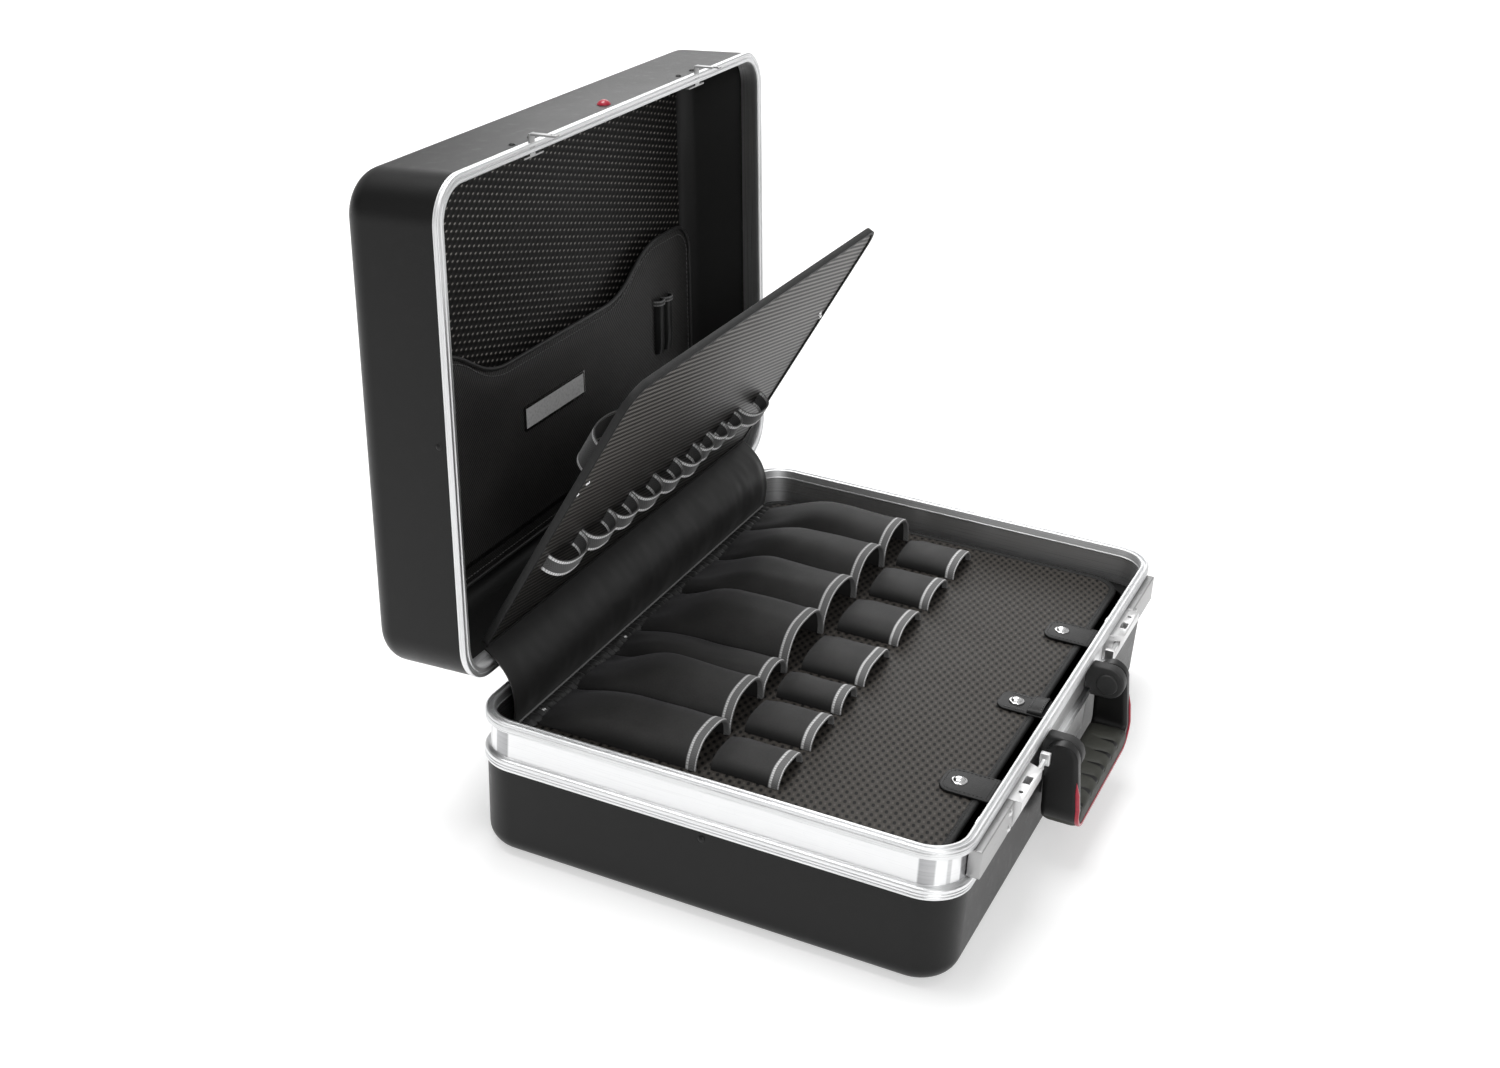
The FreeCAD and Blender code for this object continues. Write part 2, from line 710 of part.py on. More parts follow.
def handle_grip():
    """The soft front of the bow, inside the coloured strip, with finger grooves along the bar."""
    y0, y1 = -half_y - handle_front_out + inlay_depth, -half_y - handle_front_out - grip_proud
    outer = handle_half_width - inlay_width - fit
    inner = handle_half_width - arm_width
    low, bar = handle_bottom_z + inlay_width + fit, handle_bottom_z + bar_height
    soft = handle_outer_round - inlay_width
    corners = [
        (V(-outer, y0, handle_axis_z), 0), (V(-outer, y0, low), soft), (V(outer, y0, low), soft),
        (V(outer, y0, handle_axis_z), 0), (V(inner, y0, handle_axis_z), 0),
        (V(inner, y0, bar), handle_inner_round), (V(-inner, y0, bar), handle_inner_round),
        (V(-inner, y0, handle_axis_z), 0),
    ]
    grip = rounded_face(corners).extrude(V(0, y1 - y0, 0))
    reach = handle_half_width - arm_width - handle_inner_round
    for i in range(groove_count):
        x = -reach + (2 * i + 1) * reach / groove_count
        at = V(x, y1 - groove_radius + groove_depth, low - overrun)
        grip = grip.cut(Part.makeCylinder(groove_radius, bar_height + 2 * overrun, at, V(0, 0, 1)))
    return grip


def handle_boss():
    """The right bearing block on the front band, which carries the handle's pin."""
    y_axis, y_web = -half_y - handle_axis_out, -half_y + web_recess
    x0 = boss_inner_x
    barrel = Part.makeCylinder(boss_radius, boss_length, V(x0, y_axis, handle_axis_z), V(1, 0, 0))
    foot = block(x0, x0 + boss_length, y_axis, y_web, bead_top + latch_margin, web_top - latch_margin)
    boss = barrel.fuse(foot)
    keep = block(x0 - fit, x0 + boss_length + fit, y_axis - boss_radius - overrun, y_web,
                 bead_top + latch_margin, web_top - latch_margin)
    outside = block(x0 - fit, x0 + boss_length + fit, y_axis - boss_radius - overrun, -half_y - fit,
                    handle_axis_z - boss_radius - overrun, handle_axis_z + boss_radius + overrun)
    boss = boss.common(keep.fuse(outside))
    hole_foot = V(x0 - fit, y_axis, handle_axis_z)
    hole = Part.makeCylinder(handle_pin_radius, boss_length + 2 * fit, hole_foot, V(1, 0, 0))
    return boss.cut(hole).removeSplitter()


def handle_pin():
    """The right handle pin: held in the bearing block and running in the arm's eye."""
    x0 = boss_inner_x
    length = boss_length + handle_gap + arm_width - wall - fit
    foot = V(x0, -half_y - handle_axis_out, handle_axis_z)
    return Part.makeCylinder(handle_pin_radius, length, foot, V(1, 0, 0))


def spine_sheet():
    """The leather-look sheet that joins the base to the panel's foot in one outward curve."""
    foot = V(0, panel_pivot_y, board_top + strip_thickness + spine_gap)
    head = V(0, panel_foot_y, panel_foot_z)
    chord = head - foot
    along = V(chord)
    along.normalize()
    out = V(0, -along.z, along.y)
    head = head - along * (panel_thickness / 2 + fit)
    middle = foot + (head - foot) * 0.5
    inner = Part.Arc(foot, middle + out * (spine_sag - spine_thickness / 2), head).toShape()
    rise = out * spine_thickness
    outer = Part.Arc(head + rise, middle + out * (spine_sag + spine_thickness / 2), foot + rise).toShape()
    wire = Part.Wire([inner, Part.makeLine(head, head + rise), outer, Part.makeLine(foot + rise, foot)])
    sheet = Part.Face(wire).extrude(V(2 * spine_half_length, 0, 0))
    sheet.translate(V(-spine_half_length, 0, 0))
    return sheet


def front_loops(tapes):
    """The row of loops on the panel's front, or their binding tapes."""
    shapes = []
    for place, share in zip(front_loop_centre_shares, front_loop_width_shares):
        centre, width = place * panel_width, share * panel_width
        height = min(loop_height, width * loop_height_share)
        if tapes:
            piece = tape_arch(centre, width, height, front_loop_foot, binding_tape)
        else:
            stations = [front_loop_foot + front_loop_length, front_loop_foot]
            piece = fabric_tube(centre, width, [height, height], stations, False)
        piece.translate(V(0, 0, panel_thickness / 2))
        shapes.append(panel_pose(piece))
    return group(shapes)


def back_loops(tapes):
    """The row of wider loops on the panel's back, or their binding tapes."""
    shapes = []
    for i in range(back_loop_count):
        centre = (i - (back_loop_count - 1) / 2) * back_loop_pitch_share * panel_width
        if tapes:
            piece = tape_arch(centre, back_loop_width, back_loop_height, back_loop_foot, binding_tape)
        else:
            stations = [back_loop_foot + back_loop_length, back_loop_foot]
            piece = fabric_tube(centre, back_loop_width, [back_loop_height] * 2, stations, False)
        piece = piece.mirror(V(0, 0, 0), V(0, 0, 1))
        piece.translate(V(0, 0, -panel_thickness / 2))
        shapes.append(panel_pose(piece))
    return group(shapes)


def low_pockets(tapes):
    """The low second row of loops in front of the large pockets, or their binding tapes."""
    shapes = []
    for centre, width in pocket_centres():
        narrow = width * low_width_share
        if tapes:
            piece = tape_arch(centre, narrow, low_height, low_mouth_y, binding_tape)
        else:
            piece = fabric_tube(centre, narrow, [low_height, low_height], [low_back_y, low_mouth_y], False)
        shapes.append(board_pose(piece))
    return group(shapes)


def tube_bindings():
    """The binding tapes on the mouths of the large pockets."""
    shapes = []
    for (centre, width), height in zip(pocket_centres(), pocket_heights):
        tape = tape_arch(centre, width - side_gap, height + tape_ease, pocket_mouth_y, binding_tape)
        shapes.append(board_pose(tape))
    return group(shapes)


def panel_pieces():
    """The stiff board of the folding panel, and the edging round it."""
    half, t = panel_width / 2, panel_thickness / 2
    edge, proud = panel_edge_width, panel_edge_proud

    def sheet(inset, depth):
        corners = [
            (V(-half + inset, inset, -depth), panel_foot_corner),
            (V(half - inset, inset, -depth), panel_foot_corner),
            (V(half - inset, panel_length - inset, -depth), panel_corner - inset),
            (V(-half + inset, panel_length - inset, -depth), panel_corner - inset),
        ]
        return rounded_face(corners).extrude(V(0, 0, 2 * depth))

    board = sheet(edge / 2, t)
    edging = sheet(0, t + proud).cut(sheet(edge, t + proud + fit)).cut(board)
    return panel_pose(board), panel_pose(edging)


def board_pieces():
    """The board in the base, its edge binding and the ledge under it."""
    x, y, r = board_half_x, board_half_y, board_corner
    low = board_top - board_thickness
    board = rounded_slab(-x, x, -y, y, low, board_top, r)
    w = binding_width
    outer = rounded_slab(-x - fit, x + fit, -y - fit, y + fit,
                         low - binding_proud, board_top + binding_proud, r + fit)
    inner = rounded_slab(-x + w, x - w, -y + w, y - w, low - overrun, board_top + overrun, r - w)
    ring = outer.cut(inner).cut(board).cut(spine_strip())
    ledge_top = low - binding_proud
    ledge_outer = outline(lip_width, ledge_top - ledge_thickness).extrude(V(0, 0, ledge_thickness))
    inset = lip_width + ledge_width
    ledge_inner = outline(inset, ledge_top - overrun).extrude(V(0, 0, 2 * overrun))
    return board, ring, ledge_outer.cut(ledge_inner)


def clips():
    """Two small turned clips on the front wall that hold the board down."""
    y_wall = -half_y + lip_width + frame_rib + fit
    shapes = []
    for side in (-1, 1):
        x = side * clip_x
        z = clip_top
        plate = block(x - clip_width / 2, x + clip_width / 2, y_wall, y_wall + clip_thickness,
                      board_top + binding_proud, z)
        lug = block(x - clip_width / 2, x + clip_width / 2, y_wall, y_wall + clip_reach,
                    board_top + binding_proud, board_top + binding_proud + clip_thickness)
        start = V(x - clip_width / 2, y_wall + clip_thickness, z)
        barrel = Part.makeCylinder(clip_thickness, clip_width, start, V(1, 0, 0))
        keep = block(x - clip_width, x + clip_width, y_wall, y_wall + clip_reach, board_top, z + clip_reach)
        shapes.append(plate.fuse([lug, barrel]).common(keep).removeSplitter())
    return group(shapes)


def snaps():
    """The snap buttons on both straps and on the middle tab."""
    top = board_top + binding_proud + strap_thickness
    places = [(side * strap_x, strap_front_y + strap_length - snap_inset) for side in (-1, 1)]
    places.append((0, tab_front_y - snap_inset))
    return group([dome(snap_radius, snap_height, V(x, y, top), V(0, 0, 1)) for x, y in places])


def latch_rivets():
    """Two rivet heads, one over the other, on each latch cover plate."""
    y_face = -half_y - latch_proud
    middle = (web_top + bead_top) / 2
    shapes = []
    for side in (-1, 1):
        for step in (-1, 1):
            at = V(side * latch_rivet_x, y_face, middle + step * latch_rivet_pitch / 2)
            shapes.append(dome(latch_rivet_radius, latch_rivet_height, at, V(0, -1, 0)))
    return group(shapes)


def handle_bracket():
    """The plate under the frame's lower bead that backs the handle, shaped to the shell's front wall."""
    skins = []
    for extra in (-plate_thickness, 0):
        wires = [outline(shell_inset + base_draft + extra, 0).OuterWire,
                 outline(shell_inset + extra, bead_bottom + slot_depth - fit).OuterWire]
        skins.append(Part.makeLoft(wires, True, True))
    top = bead_bottom - latch_margin
    keep = block(-bracket_half_length, bracket_half_length, -half_y - overrun, 0, top - bracket_drop, top)
    return skins[0].cut(skins[1]).common(keep)


def name_plate():
    """The bare plate in the web between the handle's bearing blocks."""
    y_web = -half_y + web_recess
    return block(-plate_half_length, plate_half_length, y_web - plate_thickness, y_web,
                 bead_top + 2 * latch_margin, web_top - 2 * latch_margin)


def side_rivets(on_lid):
    """One rivet head in the middle of each side wall, through the shell and the frame's flange."""
    shapes = []
    for side in (-1, 1):
        if on_lid:
            z = rim_z + (lid_band + lid_flange) / 2
            x = half_x - lid_inset
        else:
            z = bead_bottom - frame_tail / 2
            x = half_x - shell_inset
        shapes.append(dome(rivet_radius, rivet_height, V(side * x, 0, z), V(side, 0, 0)))
    return group(shapes)


def hasp_rivets():
    """Two dark rivet heads on the lid's front wall behind each hasp."""
    z = rim_z + (lid_band + lid_flange) / 2
    shapes = []
    for side in (-1, 1):
        for step in (-1, 1):
            at = V(side * hasp_x + step * hasp_width * 3 / 2, -half_y + lid_inset, z)
            shapes.append(dome(rivet_radius, rivet_height, at, V(0, -1, 0)))
    return group(shapes)


def snap_tab():
    """The middle tab that lies back on the board from its front seam."""
    x = tab_width / 2
    z = board_top + binding_proud
    return rounded_slab(-x, x, tab_front_y - tab_length, tab_front_y, z, z + strap_thickness, tab_width / 6)


def spine_strip():
    """The strip that clamps the spine sheet's edge to the board, with the bead that the sheet turns on."""
    y = strip_y
    top = board_top + strip_thickness
    strip = rounded_slab(-strip_half_length, strip_half_length, y - strip_width / 2, y + strip_width / 2,
                         board_top, top, strip_width / 4)
    bead = block(-spine_half_length, spine_half_length, panel_pivot_y - fit, panel_pivot_y + strip_bead_width,
                 top, top + spine_gap - strip_bead_gap)
    return strip.fuse(bead).removeSplitter()


def strip_rivets():
    """Four rivet heads along the spine strip."""
    shapes = []
    span = strip_half_length - strip_rivet_margin
    for share in strip_rivet_shares:
        x = share * span
        at = V(x, strip_y - strip_width / 4, board_top + strip_thickness)
        shapes.append(dome(strip_rivet_radius, strip_rivet_height, at, V(0, 0, 1)))
    return group(shapes)


def lid_liner():
    """The embossed liner on the lid's inner back wall."""
    depth = lid_depth - wall - liner_thickness
    inset = lid_inset + lid_draft + lid_round + liner_gap
    sheet = outline(inset, rim_z + depth).extrude(V(0, 0, liner_thickness))
    return open_lid_pose(sheet)


def pen_loops():
    """Two slim pen tubes sewn on the document pocket."""
    shapes = []
    for i in range(2):
        centre = pen_x + i * pen_pitch
        stations = [pen_foot_u, pen_foot_u + pen_length]
        shapes.append(fabric_tube(centre, pen_width, [pen_height, pen_height], stations, False))
    return group(shapes)


def panel_rivets():
    """Two rivet heads near each side edge of the panel's front."""
    shapes = []
    for side in (-1, 1):
        for step in (0, 1):
            inwards = panel_rivet_inset + step * panel_rivet_radius * 4
            at = V(side * (panel_width / 2 - inwards), panel_rivet_s + step * panel_rivet_radius * 3,
                   panel_thickness / 2)
            shapes.append(panel_pose(dome(panel_rivet_radius, rivet_height, at, V(0, 0, 1))))
    return group(shapes)


def hinge_pin():
    """The long hinge pin, with a small margin inside the end knuckles."""
    length = knuckle_count * knuckle_length - knuckle_gap
    return hinge_rod(pin_radius, -length / 2, length)


def build():
    """Makes every node of the case."""
    pocket_w = lid_depth - wall - liner_thickness - pocket_depth
    board, binding, ledge = board_pieces()
    panel, edging = panel_pieces()
    card = block(card_left, card_left + card_width, card_foot_u, card_foot_u + card_height,
                 fabric, fabric + card_thickness)
    inside = pocket_outline(pocket_edge, fabric + 2 * tape_thickness)
    edge = pocket_outline(0, fabric + tape_thickness).cut(inside).cut(pocket_outline(0, fabric))
    pens = pen_loops()
    pens.translate(V(0, 0, fabric))
    plug = dome(plug_radius, plug_height, V(0, -half_y + lid_inset, rim_z + plug_depth_w), V(0, -1, 0))
    nodes = {
        "base_shell": hollow_shell(shell_inset, base_draft, bead_bottom + slot_depth - fit, 0, base_round),
        "base_frame": base_frame(),
        "board_ledge": ledge,
        "base_board": board,
        "board_binding": binding,
        "pocket_bindings": tube_bindings(),
        "low_pockets": low_pockets(False),
        "low_pocket_bindings": low_pockets(True),
        "snap_straps": group([front_strap(-strap_x), front_strap(strap_x)]),
        "snap_buttons": snaps(),
        "board_tab": snap_tab(),
        "spine_strip": spine_strip(),
        "strip_rivets": strip_rivets(),
        "board_clips": clips(),
        "name_plate": name_plate(),
        "handle_bracket": handle_bracket(),
        "handle_bosses": group([handle_boss(), mirrored(handle_boss())]),
        "handle_pins": group([handle_pin(), mirrored(handle_pin())]),
        "latch_plates": group([latch_plate(), mirrored(latch_plate())]),
        "latch_rivets": latch_rivets(),
        "latch_housing_right": latch_housing(),
        "latch_housing_left": mirrored(latch_housing()),
        "hinge_leaf_base": hinge_leaf(False),
        "hinge_pin": hinge_pin(),
        "hinge_rivets_base": hinge_rivets(False),
        "side_rivets_base": side_rivets(False),
        "lid_shell": open_lid_pose(hollow_shell(lid_inset, lid_draft, rim_z + lid_band,
                                                rim_z + lid_depth, lid_round)),
        "lid_frame": open_lid_pose(lid_frame()),
        "lid_liner": lid_liner(),
        "document_pocket": lid_wall_pose(lid_pocket(), pocket_w),
        "pocket_edge": lid_wall_pose(edge, pocket_w),
        "pen_loops": lid_wall_pose(pens, pocket_w),
        "card_holder": lid_wall_pose(card, pocket_w),
        "lid_hasps": open_lid_pose(group([hasp(), mirrored(hasp())])),
        "hasp_rivets": open_lid_pose(hasp_rivets()),
        "lid_plug": open_lid_pose(plug),
        "side_rivets_lid": open_lid_pose(side_rivets(True)),
        "hinge_leaf_lid": open_lid_pose(hinge_leaf(True)),
        "hinge_rivets_lid": open_lid_pose(hinge_rivets(True)),
        "panel_board": panel,
        "panel_edge": edging,
        "front_loops": front_loops(False),
        "front_loop_bindings": front_loops(True),
        "back_loops": back_loops(False),
        "back_loop_bindings": back_loops(True),
        "panel_rivets": panel_rivets(),
        "spine_sheet": spine_sheet(),
        "handle_core": handle_core(),
        "handle_grip": handle_grip(),
        "handle_inlay": handle_inlay(),
        "latch_slide_right": latch_slide(),
        "latch_slide_left": mirrored(latch_slide()),
    }
    for i in range(len(pocket_width_shares)):
        nodes[f"tube_pocket_{i + 1}"] = tube_pocket(i)
    return nodes


def main():
    """Writes one STEP file for each node."""
    os.makedirs("parts", exist_ok=True)
    for name, shape in build().items():
        shape.exportStep(f"parts/{name}.step")
        print(name, "solids", len(shape.Solids), "volume", round(shape.Volume), "valid", shape.isValid())


main()
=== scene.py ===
"""The hard tool case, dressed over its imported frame.

Every class below is one sub-assembly of the case: it holds its sizes in millimetres, builds its
meshes in the case's own frame (X across, Y to the rear, Z up) and gives each of them its finish
and the body it moves with.
"""

from __future__ import annotations

import json
import logging
import math
from collections.abc import Callable, Iterable, Sequence
from dataclasses import dataclass
from enum import Enum

import bpy
from mathutils import Matrix, Vector, noise

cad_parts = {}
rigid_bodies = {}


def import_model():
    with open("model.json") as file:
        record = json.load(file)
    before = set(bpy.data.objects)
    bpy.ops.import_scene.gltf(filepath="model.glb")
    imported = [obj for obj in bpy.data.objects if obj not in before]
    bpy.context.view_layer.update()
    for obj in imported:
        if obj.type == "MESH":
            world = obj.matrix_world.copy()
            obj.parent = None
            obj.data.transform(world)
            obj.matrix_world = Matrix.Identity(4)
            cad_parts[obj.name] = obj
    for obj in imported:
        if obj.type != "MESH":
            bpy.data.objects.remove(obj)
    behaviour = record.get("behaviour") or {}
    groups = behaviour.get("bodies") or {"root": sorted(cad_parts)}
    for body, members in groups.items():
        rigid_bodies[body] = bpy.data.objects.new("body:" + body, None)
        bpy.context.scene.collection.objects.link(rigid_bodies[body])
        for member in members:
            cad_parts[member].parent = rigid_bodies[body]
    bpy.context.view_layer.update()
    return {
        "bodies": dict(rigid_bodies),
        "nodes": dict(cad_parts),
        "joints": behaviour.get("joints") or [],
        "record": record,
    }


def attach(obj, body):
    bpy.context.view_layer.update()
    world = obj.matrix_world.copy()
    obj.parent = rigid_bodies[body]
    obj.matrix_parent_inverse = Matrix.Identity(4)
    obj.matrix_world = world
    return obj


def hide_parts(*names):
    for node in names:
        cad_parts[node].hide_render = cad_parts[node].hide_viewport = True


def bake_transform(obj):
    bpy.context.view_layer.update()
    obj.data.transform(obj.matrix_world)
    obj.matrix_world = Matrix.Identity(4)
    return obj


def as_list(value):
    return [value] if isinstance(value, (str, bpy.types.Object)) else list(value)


log = logging.getLogger("tool_case")

Point = tuple[float, float, float]
Flat = tuple[float, float]
Colour = tuple[float, float, float, float]
Nodes = dict[str, bpy.types.Object]
Test = Callable[[Vector, Vector], bool]

MM = 0.001
MERGE = 0.005
LID_TURN = -94.2
HINGE: Point = (0.0, 182.5, 113.0)
FRAME_HALF: Flat = (245.0, 175.8)
FRAME_RADIUS = 30.5
BOARD_HALF: Flat = (233.4, 164.2)
BOARD_TOP = 78.5
PANEL_TURN = 117.0
PANEL_HALF = 212.0
PANEL_FOOT: Flat = (185.0, 138.0)


class Body(Enum):
    """The bodies of the case that move on their own, and the sheet between two of them."""

    BASE = "base"
    LID = "lid"
    PANEL = "tool_panel"
    HANDLE = "handle"
    LATCH_RIGHT = "latch_right"
    LATCH_LEFT = "latch_left"
    SPINE = "spine, between base and tool_panel"


class Kind(Enum):
    """What is picked in a mesh."""

    FACES = "FACE"
    EDGES = "EDGE"
    POINTS = "VERT"


class Hold(Enum):
    """How a sheet of cloth is held."""

    GATHERED = "gathered"
    STRETCHED = "stretched"


# Small sums


def grey(level: float, warm: float = 0.0) -> Colour:
    """Give a grey, a little warmer or cooler by the second value."""
    return (level * (1 + warm), level, level * (1 - warm), 1.0)


def blend(a: float, b: float, share: float) -> float:
    """Go from a to b by a share."""
    return a + (b - a) * share


def ease(share: float) -> float:
    """Start and end softly between 0 and 1."""
    share = min(max(share, 0.0), 1.0)
    return share * share * (3 - 2 * share)


def ripple(x: float, y: float, seed: float) -> float:
    """Give smooth chance between -1 and 1 at a place."""
    return noise.noise(Vector((x, y, seed)))


def rounded(points: Sequence[Point], steps: int = 6) -> list[Flat]:
    """Round the corners of a flat outline.

    Args:
        points: The corners as two places and a radius each, in order.
        steps: The straight runs that make each rounded corner.

    Returns:
        The outline's points.
    """
    out: list[Flat] = []
    count = len(points)
    for i, (x, y, radius) in enumerate(points):
        here = Vector((x, y))
        before = (Vector(points[i - 1][:2]) - here).normalized()
        after = (Vector(points[(i + 1) % count][:2]) - here).normalized()
        half = before.angle(after) / 2
        start, end = (here + way * radius / math.tan(half) for way in (before, after))
        centre = here + (before + after).normalized() * radius / math.sin(half)
        a, b = start - centre, end - centre
        sweep = a.angle(b)
        for k in range(steps + 1):
            share = k / steps
            left = math.sin((1 - share) * sweep) / math.sin(sweep)
            right = math.sin(share * sweep) / math.sin(sweep)
            out.append(tuple(centre + a * left + b * right))
    return out


def rounded_box(lo: Flat, hi: Flat, low: float, high: float, steps: int = 6) -> list[Flat]:
    """Give a rectangle with rounded corners.

    Args:
        lo: Its lowest corner.
        hi: Its highest corner.
        low: The radius of the two corners at the low end.
        high: The radius of the two at the high end.
        steps: The straight runs in each corner.

    Returns:
        The outline's points.
    """
    (x0, y0), (x1, y1) = lo, hi
    return rounded([(x0, y0, low), (x1, y0, low), (x1, y1, high), (x0, y1, high)], steps)


# Shader work


def math_node(operation: str, turned: bool = False) -> Callable[..., Socket]:
    """Make a method that runs one Math node on a socket and other values.

    Args:
        operation: The node's operation.
        turned: Whether the other value comes first.

    Returns:
        The method.
    """

    def run(self: Socket, *values: Value) -> Socket:
        ordered = (*values, self) if turned else (self, *values)
        sockets = dict(enumerate(ordered))
        return self.paint.node("ShaderNodeMath", {"operation": operation}, sockets)

    return run


class Socket:
    """A value of a shader that takes part in Python sums.

    over() keeps at least a floor, under() at most a ceiling, rest() what is left over after whole
    lengths, and angle() gives the angle whose tangent is this value over another.
    """

    def __init__(self, paint: Paint, link: bpy.types.NodeSocket) -> None:
        """Keep the tree and the link that carries the value."""
        self.paint = paint
        self.link = link

    __add__ = __radd__ = math_node("ADD")
    __sub__ = math_node("SUBTRACT")
    __rsub__ = math_node("SUBTRACT", turned=True)
    __mul__ = math_node("MULTIPLY")
    __abs__ = math_node("ABSOLUTE")
    over = math_node("MAXIMUM")
    under = math_node("MINIMUM")
    root = math_node("SQRT")
    sine = math_node("SINE")
    rest = math_node("FLOORED_MODULO")
    angle = math_node("ARCTAN2")

    def spread(self, start: float, end: float, kind: str = "LINEAR") -> Socket:
        """Rise from 0 to 1 between two values."""
        sockets = {"Value": self, "From Min": start, "From Max": end}
        return self.paint.node("ShaderNodeMapRange", {"interpolation_type": kind}, sockets)

    def step(self, start: float, end: float) -> Socket:
        """Rise softly from 0 to 1 between two values."""
        return self.spread(start, end, "SMOOTHSTEP")

    def wave(self, length: float) -> Socket:
        """Swing between 0 and 1 once in each length."""
        return (self * (2 * math.pi / length)).sine() * 0.5 + 0.5


Value = Socket | float | Sequence[float]


class Paint:
    """One tree of shader nodes while it is being put together. Its lengths are in millimetres."""

    def __init__(self, tree: bpy.types.NodeTree) -> None:
        """Keep the tree."""
        self.tree = tree

    def node(self, kind: str, settings: dict, sockets: dict, out: str | int = 0) -> Socket:
        """Add any node.

        Args:
            kind: The node's type.
            settings: Its own settings, set first; "stops" fills a colour ramp.
            sockets: Values or links by the socket's name or number.
            out: The output that is wanted.

        Returns:
            The chosen output.
        """
        node = self.tree.nodes.new(kind)
        for name, value in settings.items():
            if name == "stops":
                ramp = node.color_ramp
                while len(ramp.elements) < len(value):
                    ramp.elements.new(1.0)
                for element, (at, level) in zip(ramp.elements, value):
                    element.position, element.color = at, grey(level)
            else:
                setattr(node, name, value)
        for name, value in sockets.items():
            if isinstance(value, Socket):
                self.tree.links.new(value.link, node.inputs[name])
            else:
                node.inputs[name].default_value = value
        return Socket(self, node.outputs[out])

    def place(self, turn: float = 0.0, about: Point = (0, 0, 0)) -> Socket:
        """Give the place on the piece, turned back by an angle about a line along X."""
        angle = math.radians(turn)
        shift = Vector(about) - Matrix.Rotation(angle, 3, "X") @ Vector(about)
        sockets = {
            "Vector": self.node("ShaderNodeTexCoord", {}, {}, "Object"),
            "Scale": (1 / MM, 1 / MM, 1 / MM),
            "Rotation": (angle, 0.0, 0.0),
            "Location": tuple(shift),
        }
        return self.node("ShaderNodeMapping", {"vector_type": "POINT"}, sockets)

    def cut(self) -> tuple[Socket, Socket]:
        """Give the places along and across a cut sheet, from its own map."""
        return self.split(self.node("ShaderNodeUVMap", {"uv_map": "UVMap"}, {}))[:2]

    def split(self, vector: Socket) -> tuple[Socket, Socket, Socket]:
        """Take a place apart."""
        first = self.node("ShaderNodeSeparateXYZ", {}, {0: vector}, 0)
        outputs = first.link.node.outputs
        return first, Socket(self, outputs[1]), Socket(self, outputs[2])

    def join(self, x: Value, y: Value, z: Value = 0.0) -> Socket:
        """Put a place together."""
        return self.node("ShaderNodeCombineXYZ", {}, {0: x, 1: y, 2: z})

    def cloud(self, place: Socket, scale: float, detail: float = 2.0, rough: float = 0.5) -> Socket:
        """Give soft chance between 0 and 1, scale times in a millimetre."""
        sockets = {"Vector": place, "Scale": scale, "Detail": detail, "Roughness": rough}
        return self.node("ShaderNodeTexNoise", {}, sockets)

    def pebbles(self, place: Socket, scale: float) -> Socket:
        """Give the distance to the nearest of many scattered points."""
        sockets = {"Vector": place, "Scale": scale}
        return self.node("ShaderNodeTexVoronoi", {"feature": "F1"}, sockets)

    def ramp(self, stops: Sequence[Flat], share: Socket) -> Socket:
        """Give a grey by stops of share and level."""
        return self.node("ShaderNodeValToRGB", {"stops": stops}, {0: share})

    def mix(self, a: Value, b: Value, share: Value, kind: str = "MIX") -> Socket:
        """Go from one colour to another."""
        settings = {"data_type": "RGBA", "blend_type": kind}
        return self.node("ShaderNodeMix", settings, {0: share, 6: a, 7: b}, 2)

    def bump(self, height: Socket, depth: float, strength: float = 1.0) -> Socket:
        """Raise the surface by a height of 0 to 1 times a depth."""
        sockets = {"Height": height, "Distance": depth * MM, "Strength": strength}
        return self.node("ShaderNodeBump", {}, sockets)

    def surface(self, colour: Value, rough: Value, normal: Value, more: dict[str, Value]) -> None:
        """End the material with its shader.

        Args:
            colour: The base colour.
            rough: The roughness.
            normal: The bumped normal.
            more: Values of other inputs of the Principled shader by name.
        """
        sockets = {"Base Color": colour, "Roughness": rough, "Normal": normal, **more}
        shader = self.node("ShaderNodeBsdfPrincipled", {}, sockets)
        end = self.tree.nodes.new("ShaderNodeOutputMaterial")
        self.tree.links.new(shader.link, end.inputs["Surface"])


# Finishes


_made: dict[Finish, bpy.types.Material] = {}


@dataclass(frozen=True)
class Finish:
    """What a surface is made of. Each kind fills in coat()."""

    name: str

    def coat(self, paint: Paint) -> None:
        """Fill the material's nodes."""
        raise NotImplementedError

    def material(self) -> bpy.types.Material:
        """Give the material, made once."""
        if self not in _made:
            material = bpy.data.materials.new(self.name)
            material.use_nodes = True
            material.node_tree.nodes.clear()
            self.coat(Paint(material.node_tree))
            _made[self] = material
        return _made[self]


